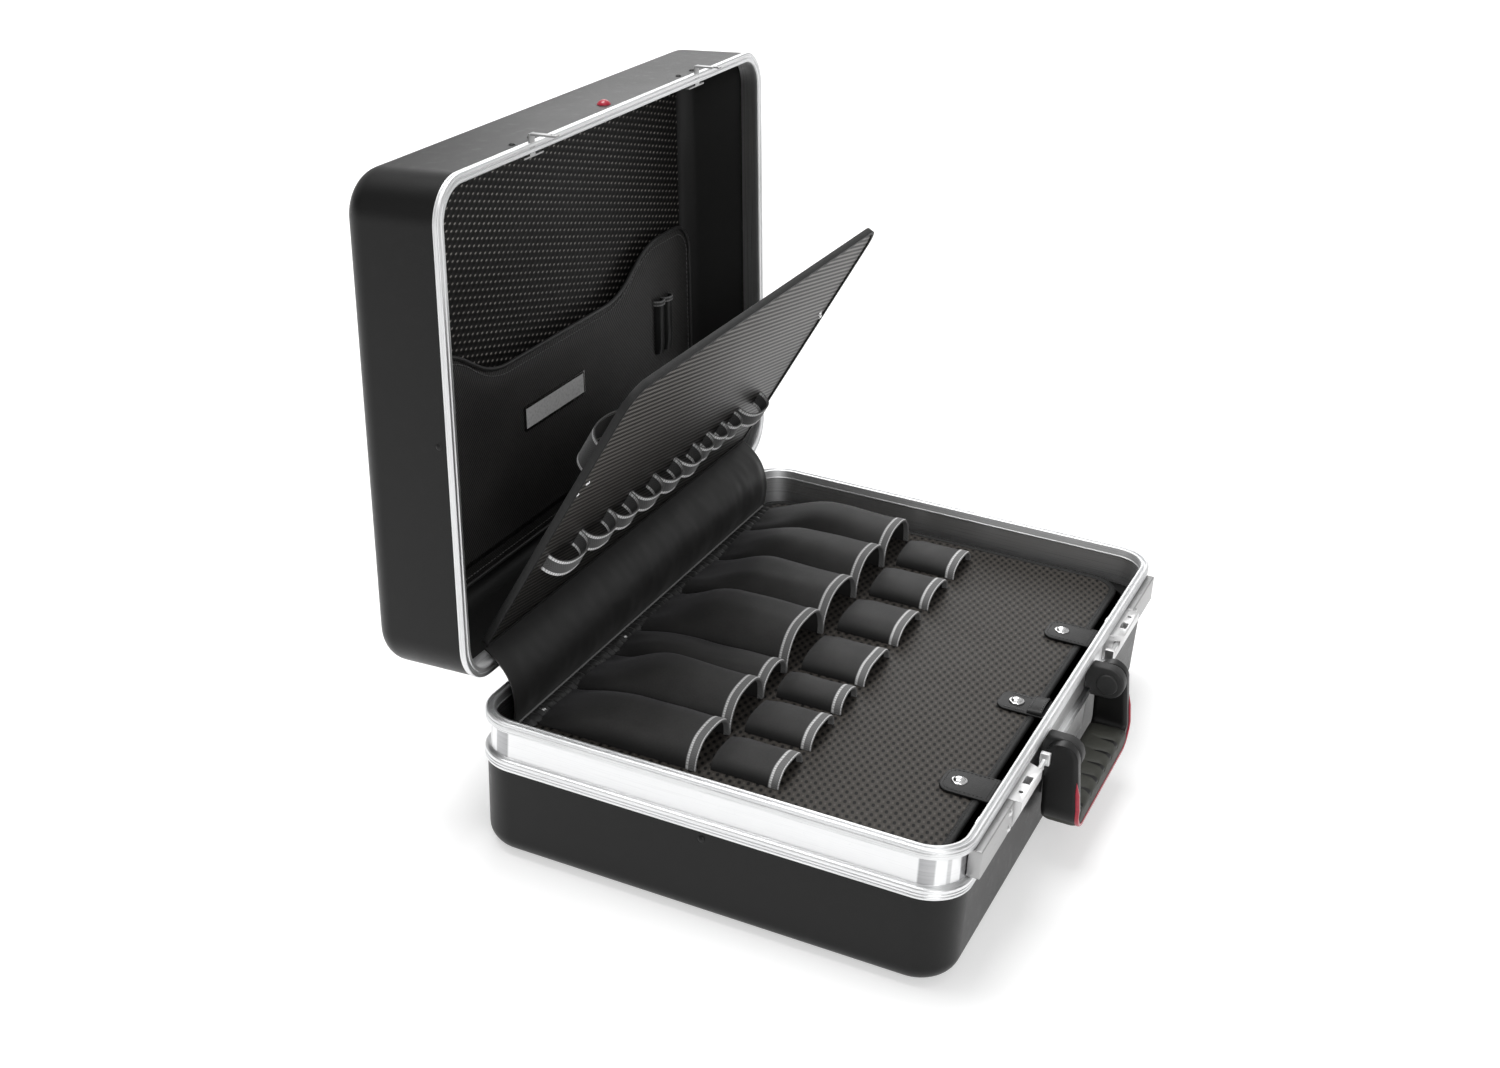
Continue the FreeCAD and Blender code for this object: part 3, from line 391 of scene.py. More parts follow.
@dataclass(frozen=True)
class Moulding(Finish):
    """Moulded plastic or rubber with a fine pebble grain and faint handling marks.

    Where it lines a hollow, the faces that look towards the hollow's middle are painted paler, as
    painted fill light against the hollow's shade.
    """

    dark: Colour = grey(0.004)
    light: Colour = grey(0.011)
    pebble: float = 0.6
    depth: float = 0.06
    rough: float = 0.38
    shine: float = 0.22
    hollow: Point | None = None
    # Painted fill light: the paler grey of the faces that look into the hollow.
    lining: Colour = grey(0.030)

    def inside(self, paint: Paint, place: Socket) -> Socket:
        """Tell the faces that look towards the middle of the hollow from those that look away."""
        facing = paint.split(paint.node("ShaderNodeTexCoord", {}, {}, "Normal"))
        parts = zip(paint.split(place), self.hollow, facing)
        return sum((at - middle) * way for at, middle, way in parts).step(1.0, -1.0)

    def coat(self, paint: Paint) -> None:
        """Fill the material's nodes."""
        place = paint.place()
        pebble = paint.pebbles(place, 1 / self.pebble)
        fine = paint.cloud(place, 2.2 / self.pebble, 2.0)
        wide = paint.cloud(place, 0.02, 3.0)
        rubbed = paint.cloud(place, 0.12, 4.0, 0.6).step(0.52, 0.74)
        grain = (1 - pebble).over(0.0) * 0.65 + fine * 0.35
        share = (pebble * 0.5 + wide * 0.6 + rubbed * 0.2).under(1.0)
        colour = paint.mix(self.dark, self.light, share)
        if self.hollow:
            # Painted fill light: faces that look into the hollow are painted paler against its
            # shade.
            colour = paint.mix(colour, self.lining, self.inside(paint, place))
        rough = self.rough + (wide - 0.5) * 0.10 - rubbed * 0.05
        more = {"Specular IOR Level": self.shine}
        paint.surface(colour, rough, paint.bump(grain, self.depth), more)


@dataclass(frozen=True)
class Extrusion(Finish):
    """Satin anodised aluminium with fine lines along its run round a rounded rectangle.

    Its web, where it has one, has painted reflections: dark and bright bands painted by the angle
    round each corner.
    """

    turn: float = 0.0
    rough: float = 0.24
    flange: float = 5.9
    lip: float = 98.0
    web: Flat | None = None
    web_faces: Flat = (2.8, 5.4)
    soft: float = 0.6
    colour: Colour = (0.86, 0.865, 0.87, 1.0)
    # The grey of the fine lines and scuffs, and of the painted reflection bands; bends gives those
    # painted reflections by the share of the turn round a corner.
    shade: Colour = (0.30, 0.30, 0.31, 1.0)
    bends: tuple[Flat, ...] = (
        (0.0, 0.0), (0.03, 0.0), (0.06, 0.9), (0.29, 0.75), (0.32, 0.0), (0.48, 0.0), (0.50, 0.5),
        (0.55, 0.5), (0.57, 0.0), (0.73, 0.0), (0.76, 1.0), (0.93, 0.9), (0.96, 0.0), (1.0, 0.0),
    )

    def coat(self, paint: Paint) -> None:
        """Fill the material's nodes."""
        place = paint.place(self.turn, HINGE)
        x, y, z = paint.split(place)
        side, front = (
            (abs(at) - (half - FRAME_RADIUS)).over(0.0) for at, half in zip((x, y), FRAME_HALF)
        )
        across = (side * side + front * front).root()
        inside = (FRAME_RADIUS - across).step(self.flange, self.flange + 0.8)
        lip = z.step(self.lip, self.lip + 1.0)
        run = (x + y) * 0.012
        lines = paint.cloud(paint.join(across * 1.9, z * 1.9, run), 1.0, 4.0, 0.72)
        wide = paint.cloud(paint.join(across * 0.5, z * 0.5, run * 0.6), 1.0, 2.0)
        scuff = paint.cloud(place, 0.25, 5.0, 0.7).step(0.60, 0.80)
        fine = lines.step(0.50, 0.72) * 0.6
        if self.web:
            plain = self.on_web(z, across)
            # Painted reflection: on the web, dark and bright bands are painted by the angle round
            # each corner.
            painted_reflection_band = paint.split(paint.ramp(self.bends, front.angle(side) * (2 / math.pi)))[0]
            fine = fine * (1 - plain * 0.8) + painted_reflection_band * plain * (0.75 + wide * 0.3)
        colour = paint.mix(self.colour, self.shade, (fine + scuff * 0.15).under(1.0))
        modulation = lines * 0.14 + wide * 0.05 + scuff * 0.10
        rough = self.rough + modulation + inside * 0.12 + lip * 0.14
        more = {"Metallic": 1.0, "Anisotropic": 0.7, "Anisotropic Rotation": 0.25}
        paint.surface(colour, rough, paint.bump(lines, 0.02, 0.5), more)

    def on_web(self, z: Socket, across: Socket) -> Socket:
        """Tell the web's outer face from the rest, by its height and its way in."""
        low, high = self.web
        near, far = (FRAME_RADIUS - inset for inset in self.web_faces)
        in_height = z.step(low, low + self.soft) * (1 - z.step(high - self.soft, high))
        reached = across.step(far, far + self.soft)
        return in_height * reached * (1 - across.step(near - self.soft, near))


@dataclass(frozen=True)
class Metal(Finish):
    """Plated or brushed steel, with short strokes along one way."""

    colour: Colour = grey(0.70)
    rough: float = 0.22
    strokes: Point = (0.15, 2.5, 2.5)
    depth: float = 0.012

    def coat(self, paint: Paint) -> None:
        """Fill the material's nodes."""
        place = paint.place()
        strokes = (at * often for at, often in zip(paint.split(place), self.strokes))
        lines = paint.cloud(paint.join(*strokes), 1.0, 3.0, 0.65)
        marks = paint.cloud(place, 0.35, 4.0, 0.6).step(0.55, 0.8)
        colour = paint.mix(self.colour, grey(self.colour[0] * 0.72), marks * 0.6)
        rough = self.rough + lines * 0.12 + marks * 0.08
        paint.surface(colour, rough, paint.bump(lines, self.depth), {"Metallic": 1.0})


@dataclass(frozen=True)
class Waffle(Finish):
    """Embossed black sheet: staggered rows of small raised points between pits.

    The rows lie one pitch apart; skew turns them and slant leans the columns between them. The
    points are painted paler as painted highlights and the pits darker as painted shade.
    """

    pitch: float
    turn: float
    skew: float
    slant: float
    # The pits' grey is painted shade and the points' grey a painted highlight.
    pit: Colour
    ground: Colour
    point: Colour
    deep: Flat = (-0.15, 0.45)
    depth: float = 0.6

    def coat(self, paint: Paint) -> None:
        """Fill the material's nodes."""
        place = paint.place(self.turn, HINGE)
        x, y, _ = paint.split(place)
        way, cross = math.radians(self.skew), math.radians(self.skew + self.slant)
        often, quarter = 2 * math.pi / self.pitch, math.pi / 2
        a = (x * math.cos(cross) + y * math.sin(cross)) * often + quarter
        b = (y * math.cos(way) - x * math.sin(way)) * often + quarter
        lattice = (b.sine() - a.sine()) * 0.5
        uneven = paint.cloud(place, 1.4, 2.0) * 0.5 + 0.75
        peak = lattice.step(0.55, 1.0) * uneven
        pits = (lattice * -1.0).step(*self.deep)
        wide = paint.cloud(place, 0.02, 3.0)
        fine = paint.cloud(place, 3.0, 2.0)
        # Painted shade in the pits, then painted highlights on the raised points.
        ground = paint.mix(self.ground, self.pit, pits)
        colour = paint.mix(ground, self.point, (peak * (wide * 0.9 + 0.35)).under(1.0))
        rough = 0.54 + wide * 0.12 - peak * 0.12
        normal = paint.bump(lattice * 0.42 + 0.5 + fine * 0.08, self.depth, 0.9)
        paint.surface(colour, rough, normal, {"Specular IOR Level": 0.30})


@dataclass(frozen=True)
class Cloth(Finish):
    """Woven black cloth, its threads on the sheet's own map, painted paler where it stands up:
    painted light on its crests and painted shade low by the board.
    """

    dark: Colour = grey(0.006)
    light: Colour = grey(0.072, 0.02)
    lint: Colour = grey(0.045)
    foot: float = BOARD_TOP
    thread: float = 0.9

    def coat(self, paint: Paint) -> None:
        """Fill the material's nodes."""
        along, across = paint.cut()
        warp, weft = along.wave(self.thread), across.wave(self.thread)
        weave = warp * weft + (1 - warp) * (1 - weft)
        flat = paint.join(along, across)
        slub = paint.cloud(flat, 0.8, 3.0, 0.6)
        wide = paint.cloud(flat, 0.035, 3.0)
        lint = paint.cloud(flat, 2.4, 1.0).step(0.70, 0.80)
        # Painted light: the cloth is painted paler the higher it stands above the board, as light
        # on the crests, and darker low down, as shade in the valleys.
        modulation = (paint.split(paint.place())[2] - self.foot).step(1.0, 15.0)
        share = (weave * 0.35 + slub * 0.35 + wide * 0.35 - 0.1) * (modulation * 0.8 + 0.45)
        plain = paint.mix(self.dark, self.light, share.under(1.0))
        colour = paint.mix(plain, self.lint, lint * 0.5)
        rough = 0.62 + slub * 0.12 - wide * 0.08
        sheen = {"Sheen Weight": 0.12, "Sheen Roughness": 0.45, "Sheen Tint": (0.8, 0.8, 0.85, 1.0)}
        normal = paint.bump(weave * 0.7 + slub * 0.3, 0.08, 0.8)
        paint.surface(colour, rough, normal, {"Specular IOR Level": 0.25, **sheen})


@dataclass(frozen=True)
class CoatedCloth(Finish):
    """Smooth coated cloth with a satin shine and a fine linen grain."""

    dark: Colour = grey(0.005)
    light: Colour = grey(0.016, 0.02)
    rough: float = 0.40
    thread: float = 1.1

    def coat(self, paint: Paint) -> None:
        """Fill the material's nodes."""
        along, across = paint.cut()
        weave = along.wave(self.thread) * 0.5 + across.wave(self.thread) * 0.5
        slub = paint.cloud(paint.join(along * 0.25, across * 2.2), 1.0, 3.0, 0.6)
        wide = paint.cloud(paint.join(along, across), 0.03, 4.0, 0.6)
        colour = paint.mix(self.dark, self.light, (wide * 0.7 + slub * 0.4).under(1.0))
        rough = self.rough + wide * 0.14 + slub * 0.08
        more = {"Specular IOR Level": 0.5, "Sheen Weight": 0.1, "Sheen Roughness": 0.4}
        paint.surface(colour, rough, paint.bump(weave * 0.45 + slub * 0.55, 0.03), more)


@dataclass(frozen=True)
class Tape(Finish):
    """Grey binding tape: ribbed in the middle with a lighter line near each edge."""

    width: float
    middle: Colour = grey(0.10)
    edge: Colour = grey(0.72)
    rib: float = 1.1
    line: float = 1.1
    inset: float = 0.6
    soft: float = 0.3

    def coat(self, paint: Paint) -> None:
        """Fill the material's nodes."""
        along, across = paint.cut()
        ribs = along.wave(self.rib)
        chevron = (along + abs(across - self.width / 2) * 0.8).wave(self.rib * 1.6)
        near = across.under(self.width - across)
        end = self.inset + self.line
        line = near.step(self.inset - self.soft, self.inset) * (1 - near.step(end, end + self.soft))
        stitch = (along.rest(2.2) - 0.5).step(0.0, 0.3)
        fuzz = paint.cloud(paint.join(along, across), 2.5, 3.0, 0.7)
        modulation = (chevron * 0.7 + fuzz * 0.5).under(1.0)
        middle = paint.mix(self.middle, grey(self.middle[0] * 1.9), modulation)
        lined = paint.mix(middle, self.edge, line * (stitch * 0.55 + 0.45) * (fuzz * 0.6 + 0.65))
        normal = paint.bump(ribs * 0.5 + fuzz * 0.3 + line * 0.4, 0.14)
        more = {"Specular IOR Level": 0.3, "Sheen Weight": 0.2}
        paint.surface(lined, 0.72 + fuzz * 0.15, normal, more)


@dataclass(frozen=True)
class Leatherette(Finish):
    """Leather-look sheet embossed with fine slanting ribs, in the lid's own plane."""

    pitch: float = 2.4
    way: Flat = (0.62, 0.78)
    dark: Colour = grey(0.003)
    light: Colour = grey(0.095, 0.03)
    depth: float = 0.30
    rough: float = 0.40

    def coat(self, paint: Paint) -> None:
        """Fill the material's nodes."""
        place = paint.place(-LID_TURN, HINGE)
        x, y, _ = paint.split(place)
        ribs = (x * self.way[0] + y * self.way[1]).wave(self.pitch)
        grain = paint.pebbles(place, 1.3)
        wide = paint.cloud(place, 0.02, 3.0)
        share = ribs.step(0.45, 1.0) * 0.55 + wide * 0.35 - grain * 0.15
        colour = paint.mix(self.dark, self.light, share.over(0.0).under(1.0))
        rough = self.rough + grain * 0.12 + wide * 0.08
        normal = paint.bump(ribs * 0.75 + grain * 0.25, self.depth)
        paint.surface(colour, rough, normal, {"Specular IOR Level": 0.45})


@dataclass(frozen=True)
class Gloss(Finish):
    """Clear bright moulding, such as a red plug or a film."""

    colour: Colour
    rough: float = 0.28
    glaze: float = 0.4

    def coat(self, paint: Paint) -> None:
        """Fill the material's nodes."""
        place = paint.place()
        cloud = paint.cloud(place, 0.5, 3.0)
        fine = paint.cloud(place, 2.5, 2.0)
        darker = (*(v * 0.75 for v in self.colour[:3]), 1.0)
        colour = paint.mix(self.colour, darker, cloud.step(0.4, 0.8))
        more = {"Coat Weight": self.glaze, "Coat Roughness": 0.15}
        paint.surface(colour, self.rough + fine * 0.08, paint.bump(fine, 0.02), more)


@dataclass(frozen=True)
class RibbedSheet(Finish):
    """The tool panel's covering: sheet with fine ribs, its places in the panel's own plane.

    Ribs and weave are the ways of the two sets of lines; the sheet is paler towards its top.
    """

    pitch: float = 4.4
    ribs: Flat = (0.24, 0.97)
    weave: Flat = (0.87, -0.49)
    dark: Colour = grey(0.002)
    light: Colour = grey(0.19, 0.06)
    rough: float = 0.34

    def coat(self, paint: Paint) -> None:
        """Fill the material's nodes."""
        place = paint.place(-PANEL_TURN, (0.0, *PANEL_FOOT))
        x, y, _ = paint.split(place)
        rise = y - PANEL_FOOT[0]
        ribs, weave = ((x * a + rise * b).wave(self.pitch) for a, b in (self.ribs, self.weave))
        wide = paint.cloud(place, 0.015, 2.0)
        fine = paint.cloud(place, 1.8, 3.0)
        lit = rise.step(40.0, 190.0) * 0.7 + 0.3
        lines = ribs.step(0.25, 0.95) * 0.62 + weave.step(0.55, 1.0) * 0.35 + wide * 0.06
        colour = paint.mix(self.dark, self.light, lines.under(1.0) * lit)
        rough = self.rough + fine * 0.10 + (1 - ribs) * 0.12
        normal = paint.bump(ribs * 0.7 + weave * 0.3, 0.45)
        paint.surface(colour, rough, normal, {"Specular IOR Level": 0.12})


# Modelling


def every(at: Vector, way: Vector) -> bool:
    """Pick everything."""
    return True


class Piece:
    """A mesh under the modeller's hands, in millimetres until it is finished."""

    def __init__(self, name: str) -> None:
        """Take the active object as the piece."""
        self.obj: bpy.types.Object = bpy.context.object
        self.obj.name = name
        self.obj.data.name = name

    @staticmethod
    def rest_hands() -> None:
        """Leave edit mode and let go of everything."""
        if bpy.context.object and bpy.context.object.mode != "OBJECT":
            bpy.ops.object.mode_set(mode="OBJECT")
        bpy.ops.object.select_all(action="DESELECT")

    def take(self) -> Piece:
        """Leave edit mode and hold this piece alone."""
        self.rest_hands()
        self.obj.select_set(True)
        bpy.context.view_layer.objects.active = self.obj
        return self

    @classmethod
    def block(cls, name: str, lo: Sequence[float], hi: Sequence[float]) -> Piece:
        """Start from a block between two corners."""
        cls.rest_hands()
        low, high = Vector(lo), Vector(hi)
        bpy.ops.mesh.primitive_cube_add(size=1, location=(low + high) / 2, scale=high - low)
        bpy.ops.object.transform_apply(location=True, rotation=True, scale=True)
        return cls(name)

    @classmethod
    def rod(cls, name: str, start: Point, end: Point, radius: float, sides: int) -> Piece:
        """Start from a rod between two points."""
        cls.rest_hands()
        a, b = Vector(start), Vector(end)
        bpy.ops.mesh.primitive_cylinder_add(vertices=sides, radius=radius, depth=(b - a).length)
        turn = (b - a).to_track_quat("Z", "Y").to_matrix().to_4x4()
        return cls(name).move(Matrix.Translation((a + b) / 2) @ turn)

    @classmethod
    def traced(cls, name: str, node: bpy.types.Object) -> Piece:
        """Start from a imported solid's own faces, merged and made whole in a new mesh."""
        cls.rest_hands()
        copy = bpy.data.objects.new(name, node.data.copy())
        bpy.context.scene.collection.objects.link(copy)
        bpy.context.view_layer.objects.active = copy
        piece = cls(name).move(Matrix.Scale(1 / MM, 4)).outwards()
        piece.pick(every)
        bpy.ops.mesh.dissolve_limited(angle_limit=math.radians(3))
        return piece.let_go()

    @classmethod
    def line(cls, name: str, points: Sequence[Sequence[float]], filled: bool = False) -> Piece:
        """Start from a closed line of points, empty or filled."""
        cls.rest_hands()
        fill = "NGON" if filled else "NOTHING"
        bpy.ops.mesh.primitive_circle_add(vertices=len(points), radius=1, fill_type=fill)
        piece = cls(name)
        for vertex, point in zip(piece.obj.data.vertices, points):
            vertex.co = point
        return piece

    @classmethod
    def plate(cls, name: str, points: Sequence[Point], way: Point) -> Piece:
        """Start from a filled outline drawn out along a way."""
        piece = cls.line(name, points, True)
        piece.pick(every).grow(*way)
        return piece.outwards()

    @classmethod
    def sheet(
        cls,
        name: str,
        along: int,
        across: int,
        place: Callable[[float, float], Sequence[float]],
        size: Flat = (1.0, 1.0),
    ) -> Piece:
        """Start from a grid laid out by a rule.

        Args:
            name: The piece's name.
            along: Faces along the sheet.
            across: Faces across it.
            place: Gives the point at two shares of 0 to 1.
            size: The cut sheet's length and width, which its map is measured in.

        Returns:
            The piece.
        """
        cls.rest_hands()
        bpy.ops.mesh.primitive_grid_add(
            x_subdivisions=along, y_subdivisions=across, size=1, calc_uvs=True
        )
        piece = cls(name)
        mesh = piece.obj.data
        for vertex in mesh.vertices:
            vertex.co = place(vertex.co.x + 0.5, vertex.co.y + 0.5)
        for corner in mesh.uv_layers[0].uv:
            corner.vector = (corner.vector.x * size[0], corner.vector.y * size[1])
        mesh.uv_layers[0].name = "UVMap"
        return piece

    @classmethod
    def ring(
        cls, name: str, section: Sequence[Flat], half: Flat, radius: float, steps: int = 14
    ) -> Piece:
        """Draw a section out along a rounded rectangle.

        Args:
            name: The piece's name.
            section: Its points as inset from the outline and height.
            half: Half the outline's length and width.
            radius: The outline's corner radius.
            steps: Straight runs in each corner.

        Returns:
            The piece, a closed ring.
        """
        x, y = half[0] - radius, half[1] - radius
        piece = cls.line(name, [(0.0, half[1] - inset, z) for inset, z in section])
        piece.pick(every, Kind.EDGES).grow(x, 0, 0)
        bpy.ops.mesh.spin(steps=steps, angle=math.pi / 2, center=(x, y, 0), axis=(0, 0, 1))
        piece.grow(0, -y, 0)
        piece.modifier("MIRROR", use_axis=(True, True, False), merge_threshold=0.02)
        return piece.outwards()

    def pick(self, test: Test, kind: Kind = Kind.FACES) -> Piece:
        """Pick faces, edges or points by where they lie.

        Args:
            test: Takes the middle and the normal (a face) or the way (an edge).
            kind: What is picked.

        Returns:
            The same piece, in edit mode.
        """
        bpy.context.view_layer.objects.active = self.obj
        self.obj.select_set(True)
        bpy.ops.object.mode_set(mode="EDIT")
        bpy.ops.mesh.select_mode(type=kind.value)
        bpy.ops.mesh.select_all(action="DESELECT")
        bpy.ops.object.mode_set(mode="OBJECT")
        mesh = self.obj.data
        if kind is Kind.FACES:
            parts, places = mesh.polygons, [(p.center, p.normal) for p in mesh.polygons]
        elif kind is Kind.EDGES:
            ends = [[mesh.vertices[i].co for i in e.vertices] for e in mesh.edges]
            parts, places = mesh.edges, [((a + b) / 2, (b - a).normalized()) for a, b in ends]
        else:
            parts, places = mesh.vertices, [(v.co, v.normal) for v in mesh.vertices]
        parts.foreach_set("select", [test(at, way) for at, way in places])
        bpy.ops.object.mode_set(mode="EDIT")
        return self

    def let_go(self) -> Piece:
        """Leave edit mode."""
        if self.obj.mode != "OBJECT":
            bpy.ops.object.mode_set(mode="OBJECT")
        return self

    def drop(self, kind: Kind = Kind.FACES) -> Piece:
        """Delete what is picked."""
        bpy.ops.mesh.delete(type=kind.value)
        return self

    def bevel(self, width: float, steps: int = 3) -> Piece:
        """Round the picked edges."""
        bpy.ops.mesh.bevel(
            offset=width, offset_type="OFFSET", segments=steps, profile=0.5, affect="EDGES"
        )
        return self

    def inset(self, width: float, depth: float = 0.0) -> Piece:
        """Draw the picked faces in, and sink or raise them."""
        bpy.ops.mesh.inset(thickness=width, depth=depth)
        return self

    def grow(self, x: float, y: float, z: float) -> Piece:
        """Extrude what is picked by a way."""
        bpy.ops.mesh.extrude_region_move(TRANSFORM_OT_translate={"value": (x, y, z)})
        return self

    def outwards(self) -> Piece:
        """Merge doubles and point every face outwards."""
        self.pick(every, Kind.POINTS)
        bpy.ops.mesh.remove_doubles(threshold=MERGE)
        bpy.ops.mesh.select_all(action="SELECT")
        bpy.ops.mesh.normals_make_consistent(inside=False)
        return self.let_go()

    def modifier(self, kind: str, **settings: object) -> Piece:
        """Add a modifier and apply it."""
        self.take()
        bpy.ops.object.modifier_add(type=kind)
        modifier = self.obj.modifiers[-1]
        for name, value in settings.items():
            setattr(modifier, name, value)
        bpy.ops.object.modifier_apply(modifier=modifier.name)
        return self

    def thicken(self, wall: float, offset: float = -1.0, even: bool = True) -> Piece:
        """Give the sheet a wall."""
        return self.modifier("SOLIDIFY", thickness=wall, offset=offset, use_even_offset=even)

    def soften(self, width: float, steps: int = 2, angle: float = 30.0) -> Piece:
        """Round every edge sharper than an angle a little."""
        limit = math.radians(angle)
        return self.modifier(
            "BEVEL", width=width, segments=steps, limit_method="ANGLE", angle_limit=limit
        )

    def move(self, *steps: Matrix) -> Piece:
        """Turn or move the mesh by matrices, the first one first."""
        self.let_go()
        for step in steps:
            self.obj.data.transform(step)
        return self

    def shift(self, x: float, y: float, z: float) -> Piece:
        """Move the mesh along a way."""
        return self.move(Matrix.Translation((x, y, z)))

    def open_lid(self) -> Piece:
        """Turn a piece modelled on the closed lid to where the lid stands open."""
        there = Matrix.Translation(Vector(HINGE))
        turn = Matrix.Rotation(math.radians(LID_TURN), 4, "X")
        return self.move(there @ turn @ there.inverted())

    def copies(self, places: Iterable[Matrix]) -> Piece:
        """Copy the piece to every place, each copy with its own mesh, and join them all."""
        self.let_go()
        made = []
        for place in places:
            other = self.obj.copy()
            other.data = self.obj.data.copy()
            other.data.transform(place)
            bpy.context.scene.collection.objects.link(other)
            made.append(other)
        bpy.data.objects.remove(self.obj)
        return self.weld(made)

    def copies_at(self, places: Iterable[Point]) -> Piece:
        """Copy the piece to every place without turning it."""
        return self.copies([Matrix.Translation(place) for place in places])

    def mirrored(self) -> Piece:
        """Add the piece's mirror image on the case's other side."""
        return self.copies([Matrix.Identity(4), Matrix.Scale(-1, 4, (1, 0, 0))]).outwards()

    def join(self, *others: Piece) -> Piece:
        """Make other pieces part of this one."""
        return self.weld([self.obj, *(other.obj for other in others)])

    def weld(self, objects: Sequence[bpy.types.Object]) -> Piece:
        """Join objects into the first of them and take it as the piece."""
        self.rest_hands()
        for other in objects:
            other.select_set(True)
        bpy.context.view_layer.objects.active = objects[0]
        if len(objects) > 1:
            bpy.ops.object.join()
        self.obj = objects[0]
        return self

    def finish(
        self, body: Body, finish: Finish, slot: str, *nodes: str, smooth: float = 40.0
    ) -> bpy.types.Object:
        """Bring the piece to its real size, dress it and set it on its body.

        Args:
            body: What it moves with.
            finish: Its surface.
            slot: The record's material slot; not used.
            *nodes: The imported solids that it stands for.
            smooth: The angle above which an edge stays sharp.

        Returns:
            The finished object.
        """
        self.move(Matrix.Scale(MM, 4)).take()
        bpy.ops.object.shade_smooth_by_angle(angle=math.radians(smooth))
        self.obj.data.materials.clear()
        self.obj.data.materials.append(finish.material())
        if body is not Body.SPINE:
            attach(self.obj, body.value)
        if nodes:
            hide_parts(*nodes)
        log.info("%s: %d faces on %s", self.obj.name, len(self.obj.data.polygons), body.value)
        return self.obj


def merged(pieces: Sequence[Piece]) -> Piece:
    """Join a row of pieces into its first one."""
    return pieces[0].join(*pieces[1:])


def dress(nodes: Nodes, finish: Finish, *names: str) -> None:
    """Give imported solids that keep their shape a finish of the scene's own."""
    for name in names:
        for slot in nodes[name].material_slots:
            slot.material = finish.material()
        log.info("%s: dressed as %s", name, finish.name)


# The case's sub-assemblies


SHELL = Moulding("shell_moulding", grey(0.002), grey(0.005), shine=0.25)
# The lid's shell paints fill light onto the faces inside its hollow.
LID_SHELL = Moulding(
    "lid_moulding", grey(0.002), grey(0.005), shine=0.25, hollow=(0.0, 193.6, 295.2)
)
BLACK = Moulding("black_moulding", grey(0.004), grey(0.009), 0.35, 0.02, 0.40, 0.30)
LEDGE = Moulding("ledge_moulding", grey(0.003), grey(0.007), 0.5, 0.03, 0.55, 0.2)
RUBBER = Moulding(
    "grip_rubber", (0.030, 0.031, 0.026, 1.0), (0.052, 0.053, 0.045, 1.0), 0.3, 0.03, 0.60, 0.3
)
CAP = Moulding("cap_moulding", grey(0.020), grey(0.032), 0.3, 0.02, 0.5, 0.3)
SMOOTH_GREY = Moulding("bracket_grey", grey(0.40), grey(0.50), 0.5, 0.015, 0.40, 0.5)
BAND = Moulding("edge_tape", grey(0.006), grey(0.016), 0.9, 0.10, 0.60, 0.3)
THREAD = Moulding("thread", grey(0.10), grey(0.22), 0.3, 0.05, 0.7, 0.2)
DARK_THREAD = Moulding("dark_thread", grey(0.035), grey(0.07), 0.3, 0.05, 0.7, 0.2)
# The pocket binding is painted a paler grey than the pocket: partly its own dark grey, partly a
# painted highlight on its rounded edge.
POCKET_PIPING_HIGHLIGHT = Moulding("pocket_piping", grey(0.020), grey(0.045), 0.9, 0.05, 0.36, 0.5)
# The spine piping's pale grey is a painted highlight along the gathered strip's rear edge.
SPINE_PIPING_HIGHLIGHT = Moulding("piping", grey(0.12), grey(0.24), 0.5, 0.05, 0.5)
STRAP = Moulding("strap_leather", grey(0.010), grey(0.022), 1.1, 0.10, 0.44)
BRIGHT = Metal("bright_steel", grey(0.78), 0.14)
SATIN = Metal("satin_metal", grey(0.72), 0.34)
STEEL = Metal("pin_steel", grey(0.045), 0.42)
BRUSHED = Metal("brushed_plate", grey(0.42), 0.36, (0.05, 2.5, 2.5), 0.010)
RED = Gloss("red_moulding", (0.44, 0.008, 0.032, 1.0))
CARD = Gloss("bare_card", grey(0.80), 0.18, 0.6)
FILM_EDGE = Gloss("film_edge", grey(0.010), 0.22, 0.5)
RUFFLE = CoatedCloth("ruffle_cloth", grey(0.006), grey(0.03), 0.36)
# In both sheets the pit grey is painted shade and the point grey a painted highlight.
BOARD = Waffle(
    "board_waffle", 5.5, 0.0, -13.0, -33.0, grey(0.001), grey(0.040, 0.12), grey(0.070, 0.12),
    (0.15, 0.70),
)
LINER = Waffle(
    "liner_waffle", 5.25, -LID_TURN, 14.0, 35.0, grey(0.002), grey(0.010, 0.08), grey(0.42, 0.06)
)
FRONT_LOOP = Tape(
    "loop_tape", 14.0, middle=grey(0.055), edge=grey(0.85), rib=1.2, line=2.0, inset=0.3
)
BACK_LOOP = Tape(
    "back_loop_tape", 26.0, middle=grey(0.02), edge=grey(0.42), rib=1.2, line=1.6, inset=0.4
)
PEN_TAPE = Tape("pen_tape", 4.4, middle=grey(0.05), edge=grey(0.30), line=0.7, inset=0.4)


